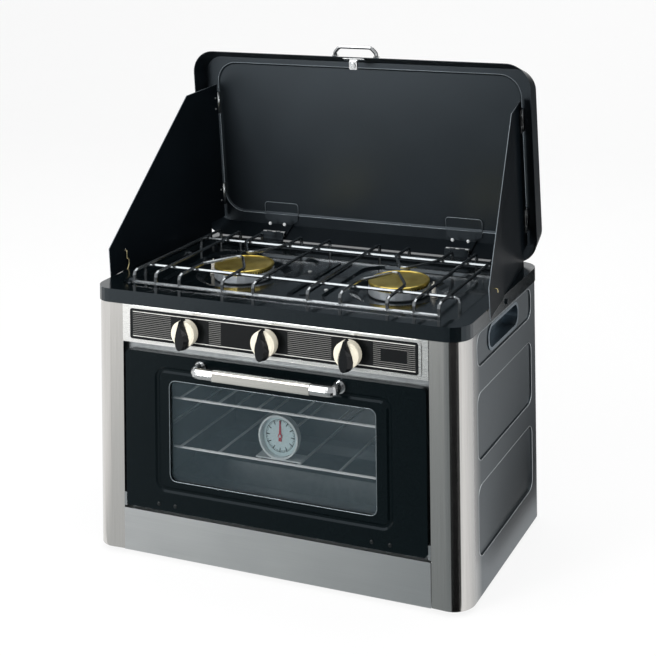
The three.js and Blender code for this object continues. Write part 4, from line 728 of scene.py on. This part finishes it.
# Oven thermometer: a steel dial, enamelled pale blue-grey and printed with graduations inside
# a thin ring, in the case on its stand. The needle is pressed from sheet and lacquered red
short_ticks = 60
short_tick_width = 0.035
short_tick_start = 18.4
long_ticks = 12
long_tick_width = 0.08
long_tick_start = 15.4
ring_inner = 20.8
ring_outer = 21.4
dial_grain = 2
lacquer_grain = 1

dial = start("printed_dial")
dial_low, dial_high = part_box("thermometer_dial")
dial_z = (dial_low[2] + dial_high[2]) / 2
dial_spot = put(dial, "TexCoord")
dial_axes = put(dial, "SeparateXYZ", {0: dial_spot.outputs["Object"]}).outputs
dial_up = put(dial, "Math", {0: dial_axes["Z"], 1: dial_z}, operation="SUBTRACT").outputs[0]
dial_flat = put(dial, "CombineXYZ", {"X": dial_axes["X"], "Y": dial_up})
spread = put(dial, "VectorMath", {0: dial_flat.outputs[0]}, operation="LENGTH").outputs["Value"]
dial_angle = put(dial, "Math", {0: dial_axes["X"], 1: dial_up}, operation="ARCTAN2").outputs[0]


def ticks(count, width, start_mm):
    """Marks of one width in radians, all round the dial from a radius out to the ring."""
    pitch = {0: dial_angle, 1: 2 * math.pi / count}
    turned = put(dial, "Math", pitch, operation="FLOORED_MODULO")
    mark = put(dial, "Math", {0: turned.outputs[0], 1: width}, operation="LESS_THAN").outputs[0]
    return many(dial, "MULTIPLY", mark, between(dial, spread, start_mm * MM, ring_inner * MM))


short_marks = ticks(short_ticks, short_tick_width, short_tick_start)
long_marks = ticks(long_ticks, long_tick_width, long_tick_start)
dial_ring = between(dial, spread, ring_inner * MM, ring_outer * MM)
marks = many(dial, "MAXIMUM", short_marks, long_marks, dial_ring)
grain_feeds = {"Vector": grains(dial, dial_grain), "Scale": 1.0, "Detail": 2.0}
enamel_grain = put(dial, "TexNoise", grain_feeds)
dial_ramp = ((0.0, "#b4cbce"), (1.0, "#c9dcde"))
dial_shade = put(dial, "ValToRGB", {"Fac": enamel_grain.outputs["Fac"]}, dial_ramp)
dial_feeds = {0: marks, 6: dial_shade.outputs["Color"], 7: tint("#2c3538")}
dial_ink = put(dial, "Mix", dial_feeds, data_type="RGBA")
end(dial, put(dial, "BsdfPrincipled", {"Base Color": dial_ink.outputs[2], "Roughness": 0.35}))
dress(dial, "thermometer_dial")
red = mottled("red_lacquer", "#a31f2e", "#c93546", lacquer_grain, detail=2.0, roughness=0.35)
dress(red, "thermometer_needle")

# Hooks: bent from spring wire and yellow chromated, which gives a pale gold with a tone that
# wanders every few millimetres. They hang in the windshields and catch the hob's rim
chromate_patch = 4
chromate_skin = {"detail": 3.0, "roughness": 0.25, "metallic": 1.0}
chromate = mottled("yellow_chromated_wire", "#c2b07a", "#efe6bf", chromate_patch, **chromate_skin)
dress(chromate, "left_hook", "right_hook")

# Pressed side panels: three rounded fields in each side wall, pressed inwards. Round each field a
# fine pale line is a painted highlight, the light that the sheet's sharp bend catches. Places are
# in millimetres, as on the solid pieces that the lines run along
wall_reach = 270
panel_front = 42
panel_back = 258
panel_corner = 14
panel_rows = (("low", 48, 137), ("middle", 167, 252), ("top", 284, 326))
pale_patch_width = 2
both_sides = ((-1, "left"), (1, "right"))
front_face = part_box("kick_panel")[0][1]
base_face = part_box("kick_panel")[0][2]


def on_body(x, y, z):
    """A place in millimetres from the stove's middle, front face and base."""
    return Vector((x * MM, front_face + y * MM, base_face + z * MM))


def rounded(left, low, right, high, radius, steps=5):
    """The corners of a rounded rectangle, in order."""
    corners = (
        (right - radius, low + radius, -90),
        (right - radius, high - radius, 0),
        (left + radius, high - radius, 90),
        (left + radius, low + radius, 180),
    )
    loop = []
    for middle_x, middle_y, first in corners:
        for step in range(steps + 1):
            turn = math.radians(first + 90 * step / steps)
            loop.append((middle_x + radius * math.cos(turn), middle_y + radius * math.sin(turn)))
    return loop


def fold_line(name, path, material, body, radius_mm, closed=True, sides=6):
    """A fine round line along a path."""
    points = []
    count = len(path)
    normal = None
    for i, here in enumerate(path):
        behind = path[(i - 1) % count] if closed or i else here
        ahead = path[(i + 1) % count] if closed or i + 1 < count else here
        along = (ahead - behind).normalized()
        if normal is None:
            normal = along.orthogonal().normalized()
        normal = (normal - along * normal.dot(along)).normalized()
        other = along.cross(normal)
        for k in range(sides):
            turn = 2 * math.pi * k / sides
            outward = normal * math.cos(turn) + other * math.sin(turn)
            points.append(here + outward * radius_mm * MM)
    faces = []
    for i in range(count if closed else count - 1):
        this_ring = i * sides
        next_ring = (i + 1) % count * sides
        for k in range(sides):
            turned = (k + 1) % sides
            faces.append((this_ring + k, this_ring + turned, next_ring + turned, next_ring + k))
    if not closed:
        faces.append(tuple(reversed(range(sides))))
        faces.append(tuple(range((count - 1) * sides, count * sides)))
    mesh_piece(name, points, faces, material, body, smooth=True)


def plate_or_highlight_finish(name, dark, light, metallic, roughness):
    """Plating on small parts, and pale painted highlights along edges, both with small paler
    patches.
    """
    return mottled(name, dark, light, pale_patch_width, 3.0, roughness, metallic)


# The pale lines round the pressed fields are painted highlights, the light that each bend catches
side_panel_highlight_skin = {"metallic": 1.0, "roughness": 0.35}
side_panel_highlight = plate_or_highlight_finish("painted_highlight_on_side_panels", "#b4babd", "#d2d7d9", **side_panel_highlight_skin)
for side, side_name in both_sides:
    for level, low, high in panel_rows:
        outline = rounded(panel_front, low, panel_back, high, panel_corner)
        loop = [on_body(side * wall_reach, y, z) for y, z in outline]
        name = f"{side_name}_{level}_panel_fold"
        fold_line(name, loop, side_panel_highlight, "housing", radius_mm=0.42)

# Hob rim: the front edge where the tray is folded down over the body. A grey line along the fold,
# from corner to corner, is a painted highlight: the light that the sharp fold catches
rim_corner = 30
rim_front = 0.6
rim_drop = 1.2
enamel_highlight_skin = {"metallic": 0.3, "roughness": 0.25}
enamel_edge_highlight = plate_or_highlight_finish("painted_highlight_on_enamel_edges", "#4e5659", "#737c80", **enamel_highlight_skin)
hob_low, hob_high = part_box("hob_tray")
rim_x = hob_high[0] - rim_corner * MM
rim_y = hob_low[1] + rim_front * MM
rim_z = hob_high[2] - rim_drop * MM
rim_line = [Vector((side * rim_x, rim_y, rim_z)) for side in (-1, 1)]
fold_line("hob_rim_fold", rim_line, enamel_edge_highlight, "housing", radius_mm=0.5, closed=False)

# Lid panel: the lid's flat is pressed outwards inside a rounded step. A grey line along the step,
# all round, is a painted highlight: the light that the step catches. Places on the lid are measured
# from its foot, along its lean
lid_lean = math.radians(5.7)
lid_foot_y = 288.1
lid_foot_z = 368.2
lid_panel_half_width = 247.7
lid_panel_low = 7.5
lid_panel_high = 243.5
lid_panel_corner = 32
lid_panel_n = -30.6
lid_up = Vector((0, -math.sin(lid_lean), math.cos(lid_lean)))
lid_out = Vector((0, -math.cos(lid_lean), -math.sin(lid_lean)))


def on_lid(u, v, n):
    """A place in millimetres across, up and out of the open lid."""
    return on_body(u, lid_foot_y, lid_foot_z) + lid_up * (v * MM) + lid_out * (n * MM)


paint_highlight_skin = {"metallic": 0.3, "roughness": 0.35}
paint_edge_highlight = plate_or_highlight_finish("painted_highlight_on_paint_edges", "#5d656b", "#7f888e", **paint_highlight_skin)
lid_ends = (-lid_panel_half_width, lid_panel_low, lid_panel_half_width, lid_panel_high)
lid_outline = rounded(*lid_ends, lid_panel_corner, steps=8)
lid_loop = [on_lid(u, v, lid_panel_n) for u, v in lid_outline]
fold_line("lid_panel_fold", lid_loop, paint_edge_highlight, "lid", radius_mm=0.6)

# Window lip: the edge of the opening in the door's front, folded back to hold the glass. A grey
# line round the window, in the hob rim's material, is a painted highlight: the light that the lip's
# edge catches
window_half_width = 150
window_low = 101
window_high = 234
window_corner = 9
window_y = 0.3
window_ends = (-window_half_width, window_low, window_half_width, window_high)
window_loop = [on_body(x, window_y, z) for x, z in rounded(*window_ends, window_corner)]
fold_line("window_lip_fold", window_loop, enamel_edge_highlight, "door", radius_mm=0.7)

# Cut edges of the lid's hinge leaves and of the windshields: a grey line along each is a painted
# highlight, the light that the edge catches. A leaf is also bent near the lid's foot, and its
# crease carries the same painted highlight. Places on a windshield are measured from its hinge
# line, along its splay
leaf_inner = 121.5
leaf_outer = 178.5
leaf_foot = -20
leaf_top = 26
leaf_corner = 5
leaf_bend = 10.8
leaf_n = -30.8
crease_v = 8.1
crease_n = -29.2
crease_inset = 0.3
splay = math.radians(7.5)
shield_hinge_u = 248.4
shield_hinge_n = -28
shield_length = 260.3
shield_front_height = 36.6
shield_top = 208.6
shield_top_length = 75
shield_low = -4
shield_near = 4
shield_inset = -0.4


def on_shield(side, x, y, z):
    """A place in millimetres out of, up and along one windshield."""
    u = shield_hinge_u + x * math.cos(splay) + z * math.sin(splay)
    n = shield_hinge_n - x * math.sin(splay) + z * math.cos(splay)
    return on_lid(side * u, y, n)


leaf_outline = rounded(leaf_inner, leaf_foot, leaf_outer, leaf_top, leaf_corner)
leaf_edge = [(u, v) for u, v in leaf_outline if v > leaf_bend]
leaf_edge = [(leaf_outer, leaf_bend), *leaf_edge, (leaf_inner, leaf_bend)]
crease_ends = (leaf_inner + crease_inset, leaf_outer - crease_inset)
plate_edge = (
    (shield_length, shield_low),
    (shield_length, shield_front_height),
    (shield_top_length, shield_top),
    (shield_near, shield_top),
)
for side, side_name in both_sides:
    edge = [on_lid(side * u, v, leaf_n) for u, v in leaf_edge]
    name = f"{side_name}_leaf_edge"
    fold_line(name, edge, paint_edge_highlight, "lid", radius_mm=0.5, closed=False)
    crease = [on_lid(side * u, crease_v, crease_n) for u in crease_ends]
    name = f"{side_name}_leaf_crease"
    fold_line(name, crease, paint_edge_highlight, "lid", radius_mm=0.4, closed=False)
    edge = [on_shield(side, shield_inset, y, z) for z, y in plate_edge]
    name = f"{side_name}_windshield_edge"
    fold_line(name, edge, paint_edge_highlight, f"{side_name}_shield", radius_mm=0.5, closed=False)

# Screws of the door and the hob: steel, with a low domed head and a cross pressed into it.
# The door's are black zinc plated, and the hob's bright
head_rings = ((1.0, 0.0), (1.0, 0.35), (0.82, 0.75), (0.6, 0.95), (0.52, 0.9), (0.14, 0.95))
cross_rings = (4, 5)
cross_depth = 0.45
head_sides = 16
door_screws_x = (-167.5, -142.5, 142.5, 167.5)
door_screw_y = -0.1
door_screw_z = 68.6
hob_screws = (("hob_screw_left", -30, 176), ("hob_screw_right", 30, 106))
hob_screw_z = 341
screw_zinc = plate_or_highlight_finish("bright_zinc_plate", "#aeb1b2", "#dadcdb", metallic=1.0, roughness=0.28)
black_zinc = plate_or_highlight_finish("black_zinc_plate", "#101314", "#262a2c", metallic=0.6, roughness=0.35)
to_front = Vector((0, -1, 0))
to_sky = Vector((0, 0, 1))


def screw(name, place, outward, material, body, radius_mm, rise_mm):
    """A domed head with a cross pressed into it, from rings in shares of its radius and rise."""
    outward = outward.normalized()
    first = outward.orthogonal().normalized()
    second = outward.cross(first)
    points = []
    for number, (reach_share, rise_share) in enumerate(head_rings):
        for k in range(head_sides):
            turn = 2 * math.pi * k / head_sides
            in_cross = number in cross_rings and k % (head_sides // 4) == 0
            rise = outward * rise_mm * (rise_share - (cross_depth if in_cross else 0.0))
            aside = (first * math.cos(turn) + second * math.sin(turn)) * radius_mm * reach_share
            points.append(place + (aside + rise) * MM)
    faces = []
    for ring_start in range(0, (len(head_rings) - 1) * head_sides, head_sides):
        for k in range(head_sides):
            a = ring_start + k
            b = ring_start + (k + 1) % head_sides
            faces.append((a, b, b + head_sides, a + head_sides))
    faces.append(tuple(range((len(head_rings) - 1) * head_sides, len(head_rings) * head_sides)))
    faces.append(tuple(reversed(range(head_sides))))
    mesh_piece(name, points, faces, material, body)


for number, x in enumerate(door_screws_x):
    spot = on_body(x, door_screw_y, door_screw_z)
    name = f"door_screw_{number + 1}"
    screw(name, spot, to_front, black_zinc, "door", radius_mm=2.6, rise_mm=1.0)
for name, x, y in hob_screws:
    spot = on_body(x, y, hob_screw_z)
    screw(name, spot, to_sky, screw_zinc, "housing", radius_mm=3.0, rise_mm=1.6)

# Windshield hinge leaves: two zinc plated steel leaves on each windshield, one low and one
# high, rolled round a pin on the hinge line. Two rivets hold each leaf, headed outside and
# closed inside
leaf_rows = (("low", 18), ("high", 163))
leaf_height = 33
leaf_near = 3
leaf_far = 13
leaf_lift = 0.05
leaf_thickness = 0.7
barrel_inset = 0.3
rivet_rises = (8, 25)
rivet_z = 8
rivet_head_x = 0.75
rivet_end_x = -0.85


def slab(name, corners, thickness, material, body):
    """A thin plate from four corners and a thickness vector."""
    points = [*corners, *[c + thickness for c in corners]]
    faces = [(3, 2, 1, 0), (4, 5, 6, 7), (0, 1, 5, 4), (1, 2, 6, 5), (2, 3, 7, 6), (3, 0, 4, 7)]
    piece = mesh_piece(name, points, faces, material, body)
    soften = piece.modifiers.new("filed_edges", "BEVEL")
    soften.width = 0.2 * MM
    soften.segments = 2


def out_of_shield(side):
    """One millimetre outwards from a windshield, as a vector in metres."""
    return on_shield(side, 1, 0, 0) - on_shield(side, 0, 0, 0)


for side, side_name in both_sides:
    body = f"{side_name}_shield"
    out = out_of_shield(side)
    for level, low in leaf_rows:
        high = low + leaf_height
        outline = ((leaf_near, low), (leaf_far, low), (leaf_far, high), (leaf_near, high))
        corners = [on_shield(side, leaf_lift, y, z) for z, y in outline]
        name = f"{side_name}_{level}_shield_leaf"
        slab(name, corners, out * leaf_thickness, screw_zinc, body)
        spine = [on_shield(side, 0, y, 0) for y in (low + barrel_inset, high - barrel_inset)]
        name = f"{side_name}_{level}_shield_barrel"
        fold_line(name, spine, screw_zinc, body, radius_mm=2.5, closed=False, sides=12)
        for number, rise in enumerate(rivet_rises):
            spot = on_shield(side, rivet_head_x, low + rise, rivet_z)
            name = f"{side_name}_{level}_leaf_rivet_{number + 1}"
            screw(name, spot, out, screw_zinc, body, radius_mm=1.8, rise_mm=0.8)
            spot = on_shield(side, rivet_end_x, low + rise, rivet_z)
            name = f"{side_name}_{level}_rivet_end_{number + 1}"
            screw(name, spot, -out, screw_zinc, body, radius_mm=1.6, rise_mm=0.6)

# Windshield skirts: a thin strip in the windshields' paint along each windshield's lower edge. It
# fills the wedge between the plate and the hob when the lid stands open, so that the wedge shows
# dark
skirt_near = 35.5
skirt_far = 256
skirt_top = 2.0
skirt_near_low = -23.0
skirt_far_low = -2.6
skirt_inset = -0.2
skirt_thickness = 0.4
skirt_edge = (
    (skirt_near, skirt_top),
    (skirt_near, skirt_near_low),
    (skirt_far, skirt_far_low),
    (skirt_far, skirt_top),
)
for side, side_name in both_sides:
    corners = [on_shield(side, skirt_inset, y, z) for z, y in skirt_edge]
    inward = -out_of_shield(side) * skirt_thickness
    slab(f"{side_name}_windshield_skirt", corners, inward, windshield_shade_paint, f"{side_name}_shield")

# Lid hinge barrels: five short steel sleeves in a row on each hinge line, by turns the lid's
# and the hob's, with two screws above them that hold the leaf to the lid. Their white zinc
# plate is paler and softer than the bright one
sleeve_count = 5
sleeve_start = 131.6
sleeve_pitch = 7.4
sleeve_share = 0.86
sleeve_v = -12
sleeve_n = -3
leaf_screws_u = (137.5, 162)
leaf_screw_v = -1.5
leaf_screw_n = -14.5
sleeve_zinc = plate_or_highlight_finish("white_zinc_plate", "#dfe3e4", "#fafcfc", metallic=0.35, roughness=0.3)
for side, side_name in both_sides:
    for number in range(sleeve_count):
        near = sleeve_start + sleeve_pitch * number
        far = sleeve_start + sleeve_pitch * (number + sleeve_share)
        spine = [on_lid(side * u, sleeve_v, sleeve_n) for u in (near, far)]
        body = "lid" if number % 2 == 0 else "housing"
        name = f"{side_name}_hinge_sleeve_{number + 1}"
        fold_line(name, spine, sleeve_zinc, body, radius_mm=3.6, closed=False, sides=14)
    for number, u in enumerate(leaf_screws_u):
        spot = on_lid(side * u, leaf_screw_v, leaf_screw_n)
        name = f"{side_name}_lid_leaf_screw_{number + 1}"
        screw(name, spot, lid_out, sleeve_zinc, "lid", radius_mm=2.6, rise_mm=1.8)
